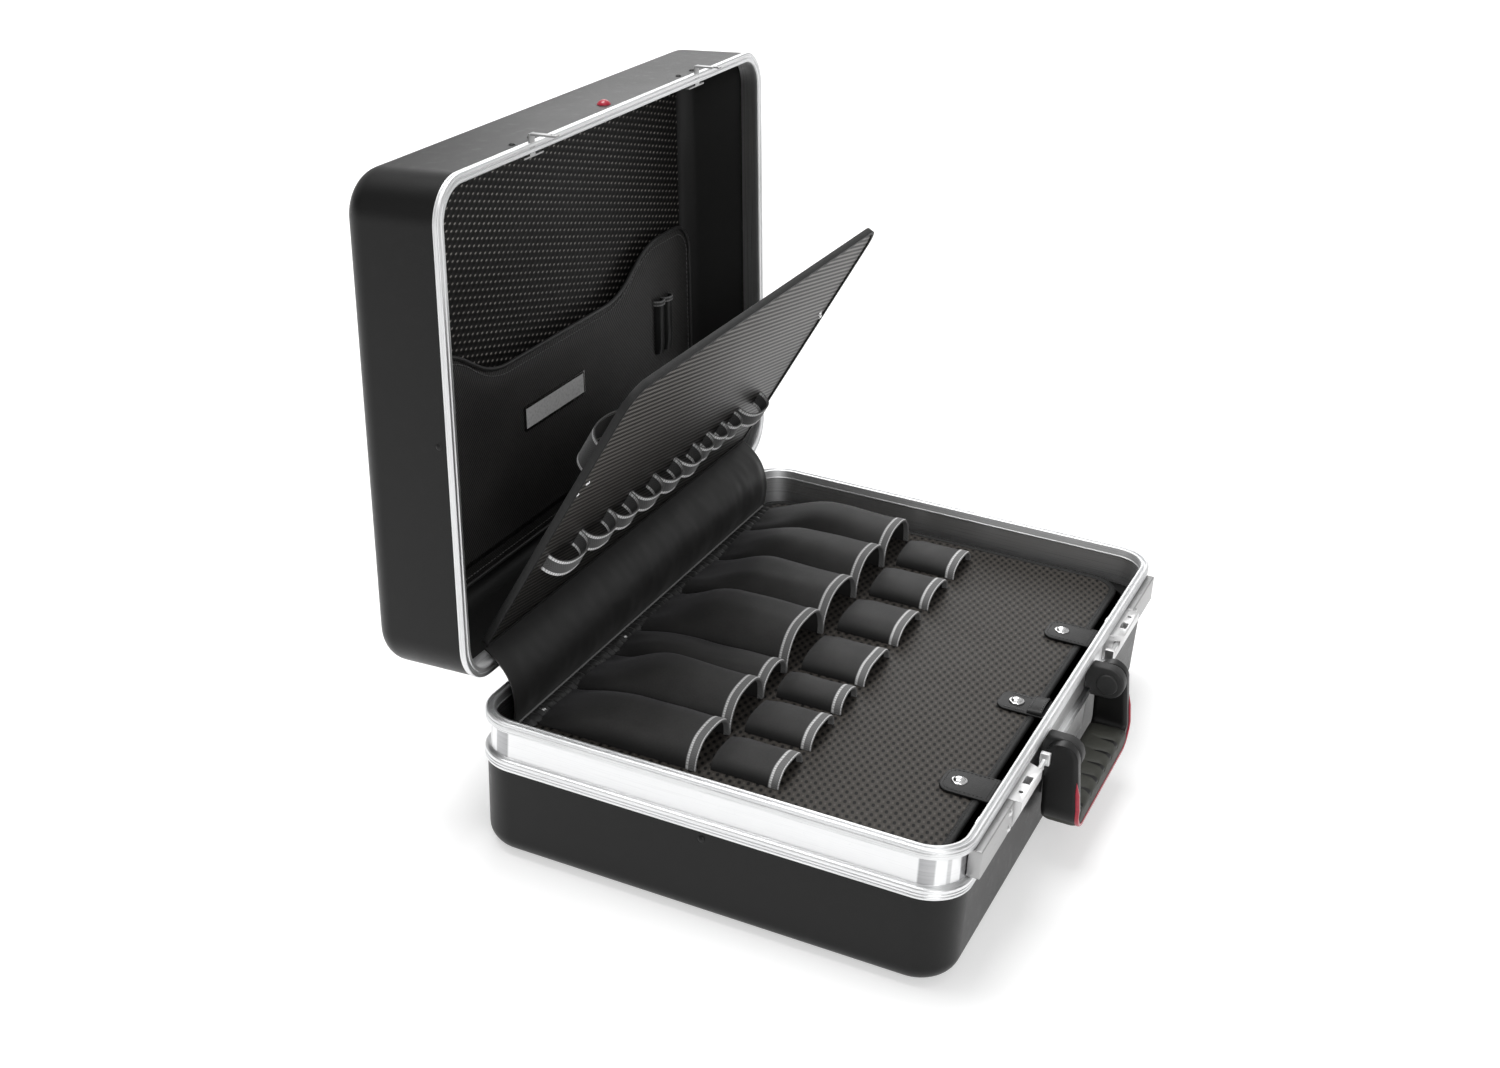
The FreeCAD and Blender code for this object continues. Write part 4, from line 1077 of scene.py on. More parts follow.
@dataclass
class Shell:
    """One of the two moulded shells, with one open side."""

    name: str
    node: str
    half: Flat
    radius: float
    draft: float
    open_z: float
    closed_z: float
    round: float
    wall: float = 3.0
    lid: bool = False

    def build(self) -> None:
        """Mould the shell: round its standing edges, its closed side, then give it a wall."""
        x, y = self.half
        low, high = sorted((self.open_z, self.closed_z))
        near, upright = 0.5, 0.9
        piece = Piece.block(self.name, (-x, -y, low), (x, y, high))
        for vertex in piece.obj.data.vertices:
            if abs(vertex.co.z - self.closed_z) < near:
                vertex.co.x *= (x - self.draft) / x
                vertex.co.y *= (y - self.draft) / y
        piece.pick(lambda at, way: abs(way.z) > upright, Kind.EDGES).bevel(self.radius, 14)
        piece.pick(lambda at, way: abs(at.z - self.closed_z) < near, Kind.EDGES)
        piece.bevel(self.round, 12)
        piece.pick(lambda at, way: abs(at.z - self.open_z) < near and abs(way.z) > upright).drop()
        piece.outwards().thicken(self.wall)
        if self.lid:
            piece.open_lid()
        body, finish = (Body.LID, LID_SHELL) if self.lid else (Body.BASE, SHELL)
        piece.finish(body, finish, "shell_plastic", self.node, smooth=50)


@dataclass
class Frames:
    """The aluminium frames of base and lid, each one extrusion bent round the case."""

    top: float = 105.5
    web_top: float = 98.0
    web_low: float = 77.0
    low: float = 68.0
    tail: float = 56.0
    web: float = 4.0
    lid_z: float = 106.5
    lid_band: float = 4.2
    lid_flange: float = 16.0
    edge: float = 0.32
    lid_edge: float = 0.256

    def lower(self) -> None:
        """Draw the base's frame: lip with two beads, recessed web, grooved lower bead."""
        top, low = self.top, self.low
        section = [
            (0.4, self.web_top), (0.0, self.web_top + 0.5), (0.0, top - 3.4), (0.35, top - 3.0),
            (0.35, top - 2.6), (0.0, top - 2.2), (0.1, top - 1.2), (0.6, top - 0.5),
            (1.3, top - 0.05), (1.9, top), (2.2, top - 0.3), (2.4, top - 2.0), (4.1, top - 2.0),
            (4.3, top - 0.3), (4.6, top), (5.9, top), (6.4, top - 0.3), (6.6, top - 0.9),
            (6.6, top - 6.0), (7.2, top - 6.5), (7.2, top - 7.1), (6.6, top - 7.6),
            (6.6, self.tail), (5.8, self.tail), (5.8, low + 7.0), (1.5, low + 7.0), (1.5, low),
            (0.9, low), (0.2, low + 0.5), (0.0, low + 1.2), (0.0, low + 2.2), (0.4, low + 2.5),
            (0.4, low + 2.8), (0.0, low + 3.1), (0.0, low + 4.3), (0.4, low + 4.6),
            (0.4, low + 4.9), (0.0, low + 5.2), (0.0, low + 6.4), (0.2, low + 7.3),
            (0.9, low + 8.0), (2.2, low + 8.6), (3.2, low + 8.8), (self.web, low + 9.4),
            (self.web, self.web_top - 1.1), (3.4, self.web_top - 0.5), (1.2, self.web_top - 0.2),
        ]
        piece = Piece.ring("frame_base", section, FRAME_HALF, FRAME_RADIUS)
        finish = Extrusion("frame_aluminium", web=(self.web_low, self.web_top))
        piece.soften(self.edge, 2, 28)
        piece.finish(Body.BASE, finish, "aluminium", "base_frame", smooth=32)

    def upper(self) -> None:
        """Draw the lid's slimmer frame."""
        z, band = self.lid_z, self.lid_band
        section = [
            (0.9, z), (0.3, z + 0.4), (0.0, z + 1.2), (0.0, z + band - 1.5),
            (0.3, z + band - 1.1), (0.3, z + band - 0.7), (0.0, z + band - 0.3), (0.0, z + band),
            (4.2, z + band), (4.2, z + self.lid_flange), (6.6, z + self.lid_flange),
            (6.6, z + band), (7.4, z + band), (7.4, z + 0.8), (7.0, z + 0.2), (6.4, z), (4.6, z),
            (4.2, z + 0.3), (4.0, z + 0.9), (3.3, z + 0.9), (3.1, z + 0.3), (2.7, z),
        ]
        piece = Piece.ring("frame_lid", section, FRAME_HALF, FRAME_RADIUS)
        finish = Extrusion("lid_aluminium", turn=-LID_TURN)
        piece.soften(self.lid_edge, 2, 28).open_lid()
        piece.finish(Body.LID, finish, "aluminium", "lid_frame", smooth=32)

    def build(self) -> None:
        """Make both frames."""
        self.lower()
        self.upper()


@dataclass
class Tunnel:
    """A sewn arch of cloth: its middle, width and height, and how far it runs.

    Towards its back it lies down to its flat share and its folds grow.
    """

    middle: float
    width: float
    height: float
    mouth: float
    back: float
    seed: float
    flat: float = 1.0
    fold: float = 0.0
    rise: float = 3.4
    slack: float = 1.3
    shoulder: Flat = (0.82, 0.72)

    @property
    def size(self) -> Flat:
        """The cut cloth's girth and length."""
        return self.width + self.slack * self.height, abs(self.back - self.mouth)

    def arch(self, share: float, height: float) -> Flat:
        """Give the place across and the rise on the arch, from its left foot to its right."""
        turn = math.pi * (1 - share)
        wide, tall = self.shoulder
        across = math.copysign(abs(math.cos(turn)) ** wide, math.cos(turn)) * self.width / 2
        rise = math.sin(turn) ** tall * height
        return self.middle + across, rise

    def place(self, share: float, run: float) -> Point:
        """Give a point of the cloth; run goes from the back to the mouth."""
        height = self.height * blend(self.flat, 1.0, ease(0.04 + run * self.rise) ** 0.8)
        x, z = self.arch(share, height)
        y = blend(self.back, self.mouth, run)
        swell = math.sin(math.pi * share) ** 0.8
        fold = self.fold * swell * (1 - 0.75 * run ** 2)
        sway = self.fold * swell * (1 - run ** 2) * 1.6
        z += fold * ripple(share * 2.2, run * 2.6, self.seed) * 2.0
        z += fold * ripple(share * 6.5, run * 1.5, self.seed + 7) * 0.45
        x += fold * ripple(share * 3.0, run * 1.8, self.seed + 3) * 0.9
        x += sway * ripple(run * 1.9, 0.0, self.seed + 9)
        y += swell * run * ripple(share * 3.0, 0.0, self.seed + 5) * 1.2
        return x, y, max(z, 0.15)


@dataclass
class Pockets:
    """The row of large sewn pockets, the low loops before them and their mouth tapes."""

    shares: tuple[float, ...] = (0.118, 0.122, 0.09, 0.15, 0.146, 0.133, 0.124)
    heights: tuple[float, ...] = (20.0, 25.0, 16.5, 30.0, 27.5, 28.5, 27.0)
    margin: float = 36.4
    seam: float = 1.2
    mouth: float = 28.0
    back: float = 149.0
    low_back: float = 20.0
    low_mouth: float = -30.0
    low_height: float = 12.0
    low_width: float = 0.74
    tape: float = 7.5
    turned_in: float = 5.6
    cloth_wall: float = 1.2
    tape_wall: float = 0.5
    lift: float = BOARD_TOP + 0.2

    def tunnels(self) -> list[Tunnel]:
        """Give the large pockets from left to right."""
        out, half = [], BOARD_HALF[0]
        x = -half + self.margin
        for i, (share, height) in enumerate(zip(self.shares, self.heights)):
            wide, seed = share * 2 * half, 11.0 * i + 2
            run = wide - self.seam, height, self.mouth, self.back
            out.append(Tunnel(x + wide / 2, *run, seed, 0.20, 2.1, 2.0))
            x += wide
        return out

    def low_tunnels(self) -> list[Tunnel]:
        """Give the low loops, one before each pocket."""
        run = self.low_height, self.low_mouth, self.low_back
        return [
            Tunnel(t.middle, t.width * self.low_width, *run, t.seed, 0.8, 0.5)
            for t in self.tunnels()
        ]

    @staticmethod
    def declare(cloth: bpy.types.Object, tunnels: Sequence[Tunnel]) -> None:
        """Take a cloth and its tunnels; nothing is done with them."""

    def sew(self, name: str, tunnel: Tunnel, run: int) -> Piece:
        """Sew one tunnel of cloth."""
        piece = Piece.sheet(name, 44, run, tunnel.place, tunnel.size)
        return piece.thicken(self.cloth_wall, 1.0).shift(0, 0, self.lift)

    def bind(self, name: str, tunnel: Tunnel) -> Piece:
        """Fold a tape over a tunnel's mouth."""
        fold = [
            (self.tape, 0.5), (self.tape * 0.55, 0.8), (0.6, 0.7), (-0.6, 0.1), (-0.2, -1.3),
            (3.4, -1.9),
        ]
        girth, length = tunnel.size

        def place(share: float, across: float) -> Point:
            at = across * (len(fold) - 1)
            i = min(int(at), len(fold) - 2)
            back, out = (blend(fold[i][k], fold[i + 1][k], at - i) for k in (0, 1))
            run = 1 - max(back, 0) / length
            x, y, z = tunnel.place(share, run)
            a, b = (Vector(tunnel.place(min(max(share + by, 0), 1), run)) for by in (-0.01, 0.01))
            way = (b - a).normalized()
            y -= max(-back, 0)
            return x - way.z * out, y, max(z + way.x * out, 0.0)

        piece = Piece.sheet(name, 56, 10, place, (girth, self.tape + self.turned_in))
        return piece.thicken(self.tape_wall, 1.0).shift(0, 0, self.lift)

    def build(self) -> None:
        """Sew the pockets, the loops and all their tapes."""
        cloth = Cloth("pocket_cloth")
        tape = Tape("pocket_tape", self.tape)
        bands = []
        for i, tunnel in enumerate(self.tunnels(), 1):
            pocket = self.sew(f"pocket_{i}", tunnel, 52)
            sewn = pocket.finish(Body.BASE, cloth, "pocket_fabric", f"tube_pocket_{i}")
            self.declare(sewn, [tunnel])
            bands.append(self.bind(f"pocket_{i}_tape", tunnel))
        merged(bands).finish(Body.BASE, tape, "grey_tape", "pocket_bindings")
        low = self.low_tunnels()
        loops = merged([self.sew(f"loop_{i}", tunnel, 26) for i, tunnel in enumerate(low, 1)])
        self.declare(loops.finish(Body.BASE, cloth, "pocket_fabric", "low_pockets"), low)
        bands = [self.bind(f"loop_tape_{i}", tunnel) for i, tunnel in enumerate(low, 1)]
        merged(bands).finish(Body.BASE, tape, "grey_tape", "low_pocket_bindings")


def stitches(name: str, places: Sequence[Matrix], length: float, width: float) -> Piece:
    """Sew a row of stitches, one short thread at each place, lying along its own X."""
    piece = Piece.block(name, (-length / 2, -width / 2, -0.15), (length / 2, width / 2, 0.35))
    piece.pick(lambda at, way: abs(way.x) > 0.9 and at.z > 0.2, Kind.EDGES).bevel(0.22, 1)
    piece.pick(lambda at, way: abs(at.x) > length / 2 - 0.01, Kind.EDGES).bevel(0.25, 1)
    return piece.copies(places)


def along(points: Sequence[Vector], pitch: float) -> list[Matrix]:
    """Set places one pitch apart along a line of points.

    Args:
        points: The line.
        pitch: The distance between two places.

    Returns:
        One matrix for each place, its X along the line and its Z up.
    """
    out: list[Matrix] = []
    left = pitch / 2
    for a, b in zip(points, points[1:]):
        length = (b - a).length
        if length < 1e-6:
            continue
        way = (b - a) / length
        side = Vector((0, 0, 1)).cross(way).normalized()
        turn = Matrix((way, side, way.cross(side))).transposed().to_4x4()
        while left < length:
            out.append(Matrix.Translation(a + way * left) @ turn)
            left += pitch
        left -= length
    return out


def raised(outline: Sequence[Flat], z: float) -> list[Point]:
    """Bring a flat outline to a height."""
    return [(*p, z) for p in outline]


def closed(outline: Sequence[Flat], z: float) -> list[Vector]:
    """Give the line round a flat outline, back to its start, at a height."""
    return [Vector(p) for p in raised([*outline, outline[0]], z)]


def strap_end(name: str, middle: float, width: float, ends: Flat, thick: float) -> Piece:
    """Cut a strap end with round corners and a soft, padded edge."""
    half, (y0, y1) = width / 2, ends
    outline = rounded_box((middle - half, y0), (middle + half, y1), 2.0, width * 0.3, 8)
    piece = Piece.plate(name, raised(outline, BOARD_TOP + 0.95), (0, 0, thick))
    piece.pick(lambda at, way: way.z > 0.9).inset(1.6, 0.35)
    return piece.soften(0.5, 3, 30)


def snap(name: str) -> Piece:
    """Turn a snap button: a flat foot ring with a dome in it."""
    profile = [
        (0.0, 2.5), (1.6, 2.42), (3.0, 2.1), (3.9, 1.5), (4.2, 0.9), (4.5, 0.75), (5.2, 0.8),
        (5.6, 0.45), (5.7, 0.0),
    ]
    piece = Piece.line(name, [(r, 0, z) for r, z in profile])
    piece.pick(lambda at, way: at.z < 0.01 or (at.x < 2.6 and at.z < 1.6), Kind.EDGES)
    piece.drop(Kind.EDGES).pick(every, Kind.EDGES)
    bpy.ops.mesh.spin(steps=28, angle=2 * math.pi, center=(0, 0, 0), axis=(0, 0, 1))
    return piece.outwards()


@dataclass
class BaseBoard:
    """The board in the base with its edge tape, straps and snaps."""

    front: float = -152.5
    radius: float = 24.0
    low: float = 75.5
    tape: float = 5.0
    strap_x: float = 122.0
    strap_width: float = 30.0
    strap_thick: float = 1.5
    seam: float = 2.4
    pitch: float = 3.6
    strap_pitch: float = 3.0
    strap: Flat = (-160.0, -122.0)
    strap_snap: float = -134.0
    tab_snap: float = -136.0
    snap_z: float = BOARD_TOP + 2.75

    def outline(self, inset: float, steps: int) -> list[Flat]:
        """Draw the board's outline, short of the frame along its front edge."""
        x, back, front = BOARD_HALF[0] - inset, BOARD_HALF[1] - inset, self.front + inset
        radius = self.radius - inset
        return rounded_box((-x, front), (x, back), radius, radius, steps)

    def board(self) -> None:
        """Cut the board itself."""
        outline = raised(self.outline(0.0, 12), self.low)
        piece = Piece.plate("board", outline, (0, 0, BOARD_TOP - self.low)).soften(0.3, 2, 40)
        piece.finish(Body.BASE, BOARD, "board_sheet", "base_board")

    def edge(self) -> None:
        """Fold the tape over the board's edge and stitch it."""
        low, top, w = self.low, BOARD_TOP, self.tape
        section = [
            (-0.2, low - 0.5), (-0.7, low + 0.5), (-0.8, top - 0.6), (-0.3, top + 0.5),
            (0.7, top + 1.0), (w * 0.5, top + 0.9), (w - 0.8, top + 0.7), (w, top + 0.3),
            (w, top - 0.4), (1.5, top - 0.4), (0.3, top - 1.0), (0.3, low), (w, low),
            (w, low - 0.8), (0.8, low - 0.9),
        ]
        (x, back), front = BOARD_HALF, self.front
        piece = Piece.ring("board_edge_tape", section, (x, (back - front) / 2), self.radius, 12)
        piece.shift(0, (back + front) / 2, 0).soften(0.25, 2, 25)
        piece.finish(Body.BASE, BAND, "black_tape", "board_binding")
        line = closed(self.outline(self.tape * 0.62, 8), top + 0.85)
        thread = stitches("board_stitches", along(line, self.pitch), 2.2, 0.55)
        thread.finish(Body.BASE, DARK_THREAD, "black_tape")

    def straps(self) -> None:
        """Cut the two straps and stitch them."""
        pieces, lines = [], []
        half, seam, (y0, y1) = self.strap_width / 2, self.seam, self.strap
        for i, x in enumerate((-self.strap_x, self.strap_x)):
            size = self.strap_width, self.strap, self.strap_thick
            pieces.append(strap_end(f"strap_{i}", x, *size))
            lo, hi = (x - half + seam, y0 + 3), (x + half - seam, y1 - seam)
            line = closed(rounded_box(lo, hi, 1, 7), BOARD_TOP + 2.8)
            lines += along(line, self.strap_pitch)
        merged(pieces).finish(Body.BASE, STRAP, "pocket_fabric", "snap_straps")
        thread = stitches("strap_stitches", lines, 1.9, 0.45)
        thread.finish(Body.BASE, DARK_THREAD, "pocket_fabric")

    def build(self) -> None:
        """Make the board, its edge, the straps and the snaps."""
        self.board()
        self.edge()
        self.straps()
        places = [(x, self.strap_snap, self.snap_z) for x in (-self.strap_x, self.strap_x)]
        snaps = snap("snaps").copies_at([*places, (0.0, self.tab_snap, self.snap_z)])
        snaps.finish(Body.BASE, BRIGHT, "bright_steel", "snap_buttons", smooth=60)


@dataclass
class Ruffle:
    """The gathered strip that holds the spine sheet down, with its piping and rivets."""

    half: float = 206.0
    back: float = 162.4
    front: float = 149.5
    gather: float = 7.2
    cut_width: float = 17.0
    cut_share: float = 2.4
    wall: float = 0.8
    rivets: tuple[float, ...] = (-1.0, -0.333, 0.333, 1.0)
    rivet_span: float = 181.5
    rivet_y: float = 154.0
    pipe: float = 0.8

    def place(self, share: float, across: float) -> Point:
        """Give a point of the gathered strip, from its piping to its scalloped edge."""
        x = blend(-self.half, self.half, share)
        shift = 1.6 * ripple(x * 0.07, 0.0, 3.0)
        wave = math.sin((x + shift * 2) * 2 * math.pi / self.gather)
        deep = ease(across * 1.6)
        scallop = 0.6 * ripple(x * 0.3, 1.0, 5.0) * deep - 0.9 * wave * deep ** 2
        crown = math.sin(math.pi * min(across * 0.92 + 0.08, 1)) * 2.0
        puff = 1.1 * wave + 0.6 * ripple(x * 0.4, across * 3, 8.0)
        y = blend(self.back - 2.0, self.front, across) + scallop
        return x, y, BOARD_TOP + 1.4 + crown + puff * math.sin(math.pi * across * 0.9)

    def build(self) -> None:
        """Gather the strip, lay its piping and set its rivets."""
        strip = Piece.sheet("spine_ruffle", 620, 14, self.place, (2 * self.half, 14.0))
        cloth = strip.thicken(self.wall).finish(Body.BASE, RUFFLE, "strip_plastic", "spine_strip")
        spots = [(at * self.rivet_span, self.rivet_y, BOARD_TOP + 3.6) for at in self.rivets]
        rivets = snap("spine_rivets").move(Matrix.Scale(0.5, 4)).copies_at(spots)
        rivets.finish(Body.BASE, BRIGHT, "bright_steel", "strip_rivets", smooth=60)
        y, z, turns = self.back - 3.6, BOARD_TOP + 4.3, [t * math.pi / 6 for t in range(12)]
        section = [(y + self.pipe * math.cos(t), z + self.pipe * math.sin(t)) for t in turns]
        line = [(-self.half, *p) for p in section]
        # The piping is a thin seam ridge; its pale grey is a painted highlight along the strip's
        # rear edge.
        pipe = Piece.plate("spine_piping", line, (2 * self.half, 0, 0))
        pipe.finish(Body.BASE, SPINE_PIPING_HIGHLIGHT, "strip_plastic")


@dataclass
class Spine:
    """The coated sheet that joins the base to the tool panel's foot in one outward curve."""

    foot: Flat = (160.6, 82.6)
    head: Flat = (184.0, 136.4)
    sag: float = 13.0
    cut_length: float = 70.0
    wall: float = 1.5

    def place(self, share: float, rise: float) -> Point:
        """Give a point of the sheet from its foot to its head."""
        foot, head = Vector(self.foot), Vector(self.head)
        chord = head - foot
        out = Vector((-chord.y, chord.x)).normalized()
        bulge = 4 * rise * (1 - rise)
        end = abs(share - 0.5) * 2
        x = blend(-PANEL_HALF, PANEL_HALF, share)
        crease = 0.9 * ripple(x * 0.045, rise * 1.5, 21.0) + 0.45 * ripple(x * 0.12, rise * 4, 24.0)
        tug = math.sin(x * 0.11 + 2 * ripple(x * 0.02, 0, 3.0))
        pull = 0.7 * tug * (1 - rise) ** 3 * ease(rise * 8)
        tuck = 2.2 * ease((end - 0.93) / 0.07)
        at = foot + chord * rise + out * ((self.sag + crease - tuck) * bulge + pull)
        return x, at.x, at.y

    def build(self) -> None:
        """Lay the sheet from the base to the panel's foot."""
        piece = Piece.sheet("spine_cloth", 220, 48, self.place, (2 * PANEL_HALF, 76.0))
        piece.thicken(self.wall, 0.0).soften(0.3, 2, 60)
        finish = CoatedCloth("spine_coated_cloth")
        cloth = piece.finish(Body.SPINE, finish, "pocket_fabric", "spine_sheet")
        ends = [Vector((0, *end)) * MM for end in (self.foot, self.head)]
        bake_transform(cloth)
        flat, rests = (2 * PANEL_HALF * MM, self.cut_length * MM), ["spine_strip", "panel_board"]
        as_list(rests)


@dataclass
class ToolPanel:
    """The stiff folding panel with its edge tape and its loops on both sides."""

    length: float = 237.0
    thick: float = 3.0
    corner: float = 20.0
    foot_corner: float = 6.0
    tape: float = 2.6
    tape_gap: float = 0.6
    tape_wall: float = 0.55
    loop_foot: float = 64.0
    loop_length: float = 14.0
    loop_height: float = 13.5
    loop_share: float = 0.46
    loop_wall: float = 1.1
    centres: tuple[float, ...] = (
        -0.392, -0.288, -0.203, -0.116, -0.033, 0.047, 0.113, 0.175, 0.234, 0.33,
    )
    widths: tuple[float, ...] = (
        0.099, 0.09, 0.075, 0.08, 0.075, 0.071, 0.054, 0.054, 0.054, 0.094,
    )
    back_loops: tuple[float, ...] = (-1.5, -0.5, 0.5, 1.5)
    back_pitch: float = 0.231
    back_size: Flat = (60.0, 22.0)
    back_run: Flat = (140.0, 166.0)

    def stand(self, piece: Piece) -> Piece:
        """Turn a piece modelled flat (X across, Y up, Z to the front) to where the panel stands."""
        turn = Matrix.Rotation(math.radians(PANEL_TURN), 4, "X")
        return piece.move(turn, Matrix.Translation((0, *PANEL_FOOT)))

    def outline(self, inset: float) -> list[Flat]:
        """Give the panel's outline, drawn in by an inset."""
        x, low, high = PANEL_HALF - inset, inset, self.length - inset
        foot = max(self.foot_corner - inset, 0.5)
        return rounded_box((-x, low), (x, high), foot, self.corner - inset, 8)

    def board(self) -> None:
        """Cut the board."""
        outline = raised(self.outline(0.8), -self.thick / 2)
        piece = Piece.plate("panel_sheet", outline, (0, 0, self.thick)).soften(0.3, 2)
        finish = RibbedSheet("panel_ribbed_sheet")
        self.stand(piece).finish(Body.PANEL, finish, "panel_sheet", "panel_board")

    def edge(self) -> None:
        """Fold the tape over the board's edge."""
        outer, inner = self.outline(0.0), self.outline(self.tape)
        half = self.thick / 2 + self.tape_gap
        tape = Piece.line("panel_edge_tape", raised(outer, -half))
        tape.pick(every, Kind.EDGES).grow(0, 0, 2 * half).let_go()
        sides = []
        for z in (-half, half):
            side = Piece.line("side", raised(outer, z))
            side.pick(every, Kind.EDGES).grow(0, 0, 0).let_go()
            for vertex, point in zip(list(side.obj.data.vertices)[len(outer):], inner):
                vertex.co = (*point, z * 0.93)
            sides.append(side)
        tape.join(*sides).outwards().thicken(self.tape_wall, 1.0).soften(0.25, 2, 30)
        self.stand(tape).finish(Body.PANEL, BAND, "black_tape", "panel_edge")

    def loop(self, name: str, tunnel: Tunnel) -> Piece:
        """Bend one tape loop that stands off the panel from a tunnel's mouth to its back."""

        def place(share: float, across: float) -> Point:
            x, z = tunnel.arch(share, tunnel.height)
            y = blend(tunnel.mouth, tunnel.back, across)
            return x, y + 0.5 * ripple(share * 3, across, tunnel.middle), max(z, 0.1)

        return Piece.sheet(name, 40, 8, place, tunnel.size).thicken(self.loop_wall, 1.0)

    def loops(self) -> None:
        """Bend both rows of loops."""
        across, half = 2 * PANEL_HALF, self.thick / 2
        low, high = self.loop_foot, self.loop_foot + self.loop_length
        front = []
        for i, (centre, width) in enumerate(zip(self.centres, self.widths), 1):
            wide = width * across
            tall = min(self.loop_height, wide * self.loop_share)
            tunnel = Tunnel(centre * across, wide, tall, low, high, 0.0)
            front.append(self.loop(f"front_loop_{i}", tunnel))
        row = self.stand(merged(front).shift(0, 0, half))
        row.finish(Body.PANEL, FRONT_LOOP, "grey_tape", "front_loops", "front_loop_bindings")
        back = []
        for i, place in enumerate(self.back_loops, 1):
            middle = place * self.back_pitch * across
            tunnel = Tunnel(middle, *self.back_size, *self.back_run, 0.0)
            back.append(self.loop(f"back_loop_{i}", tunnel))
        row = merged(back).move(Matrix.Scale(-1, 4, (0, 0, 1))).shift(0, 0, -half).outwards()
        self.stand(row)
        row.finish(Body.PANEL, BACK_LOOP, "grey_tape", "back_loops", "back_loop_bindings")

    def build(self) -> None:
        """Make the panel."""
        self.board()
        self.edge()
        self.loops()


@dataclass
class LidInside:
    """What is fixed inside the lid: the liner and the document pocket with its binding."""

    rim: float = 106.5
    depth: float = 75.3
    wall: float = 3.0
    liner: float = 1.5
    liner_half: Flat = (228.5, 159.5)
    liner_radius: float = 15.0
    pocket: float = 9.0
    half: float = 225.6
    low: float = 24.0
    dip: float = 171.0
    ear: float = 203.0
    ear_x: float = 150.0
    dip_x: float = 96.0
    corner: float = 26.0
    front_wall: float = 1.6
    side_wall: float = 1.4
    binding: float = 1.5
    seam: float = 6.0
    rolls: tuple[Flat, ...] = ((2.5, 0.5), (4.0, 0.8), (5.0, 0.9), (6.0, 0.6))

    def lay(self, piece: Piece, out: float = 0.0) -> Piece:
        """Bring a piece modelled flat (X across, Y up, Z to the front) onto the pocket's front."""
        face = self.rim + self.depth - self.wall - self.liner - self.pocket - out
        flip = ((1, 0, 0, 0), (0, -1, 0, FRAME_HALF[1]), (0, 0, -1, face), (0, 0, 0, 1))
        return piece.move(Matrix(flip)).open_lid()

    def outline(self, inset: float, steps: int = 8) -> list[Flat]:
        """Give the pocket's outline, drawn in by an inset."""
        x, low = self.half - inset, self.low + inset
        ear, dip, soft = self.ear - inset, self.dip - inset, self.corner - inset
        slope, ear_x = (self.ear_x - self.dip_x) * 1.5, self.ear_x - inset
        right = [(x, low, soft / 2), (x, ear, soft), (ear_x, ear, slope), (self.dip_x, dip, slope)]
        left = [(-across, up, radius) for across, up, radius in reversed(right)]
        return rounded([left[-1], *right, *left[:-1]], steps)

    def build_liner(self) -> None:
        """Lay the embossed liner over the lid's back and up its soft corners."""
        z, (x, y) = self.rim + self.depth - self.wall - self.liner, self.liner_half
        outline = rounded_box((-x, -y), (x, y), self.liner_radius, self.liner_radius, 8)
        piece = Piece.plate("lid_liner_sheet", raised(outline, z), (0, 0, self.liner * 0.9))
        piece.soften(0.4, 2).open_lid().finish(Body.LID, LINER, "liner_fabric", "lid_liner")

    def build_pocket(self) -> None:
        """Mould the pocket's front as a soft sheet and stand it on its sides."""
        piece = Piece.line("pocket_front", raised(self.outline(0.4), 0.0), True)
        for width, rise in self.rolls:
            middle = max(piece.obj.data.polygons, key=lambda face: face.area).center.copy()
            piece.pick(lambda at, way: (at - middle).length < 1e-4).inset(width, rise).let_go()
        piece.thicken(self.front_wall, -1.0, even=False)
        sides = Piece.line("pocket_side", raised(self.outline(3.0), -self.pocket + 0.2))
        sides.pick(lambda at, way: at.y < self.dip - 4, Kind.EDGES).grow(0, 0, self.pocket)
        sides.let_go().thicken(self.side_wall, 0.0, even=False)
        finish = Leatherette("pocket_leatherette")
        pocket = self.lay(piece.join(sides))
        pocket.finish(Body.LID, finish, "pocket_leather", "document_pocket", smooth=50)

    def build_binding(self) -> None:
        """Lay the round binding along the pocket's edge and stitch it."""
        ring = Piece.line("pocket_edge_binding", raised(self.outline(0.0, 10), 1.0))
        ring.pick(every, Kind.EDGES).let_go()
        bpy.ops.object.convert(target="CURVE")
        ring.obj = bpy.context.object
        ring.obj.data.bevel_depth = self.binding
        ring.obj.data.bevel_resolution = 4
        bpy.ops.object.convert(target="MESH")
        ring.obj = bpy.context.object
        # The binding's paler grey is partly a painted highlight on its rounded edge.
        self.lay(ring).finish(Body.LID, POCKET_PIPING_HIGHLIGHT, "leather_edge", "pocket_edge", smooth=80)
        line = closed(self.outline(self.seam, 10), self.front_wall)
        thread = stitches("pocket_stitches", along(line, 4.0), 2.6, 0.6)
        self.lay(thread).finish(Body.LID, THREAD, "leather_edge")

    def build(self) -> None:
        """Make the liner, the pocket and its binding."""
        self.build_liner()
        self.build_pocket()
        self.build_binding()


@dataclass(frozen=True)
class Station:
    """One place along the handle's bow: its middle, the way out of the bow and its reach in Y."""

    x: float
    z: float
    out: Flat
    half: float
    front: float
    back: float

    def mirrored(self) -> Station:
        """Give the station on the bow's other side."""
        out = -self.out[0], self.out[1]
        return Station(-self.x, self.z, out, self.half, self.front, self.back)

    def ring(self, unit: Sequence[Flat]) -> list[Flat]:
        """Draw a unit outline to this station's size."""
        middle, reach = (self.front + self.back) / 2, (self.back - self.front) / 2
        return [(a * self.half, middle + b * reach) for a, b in unit]


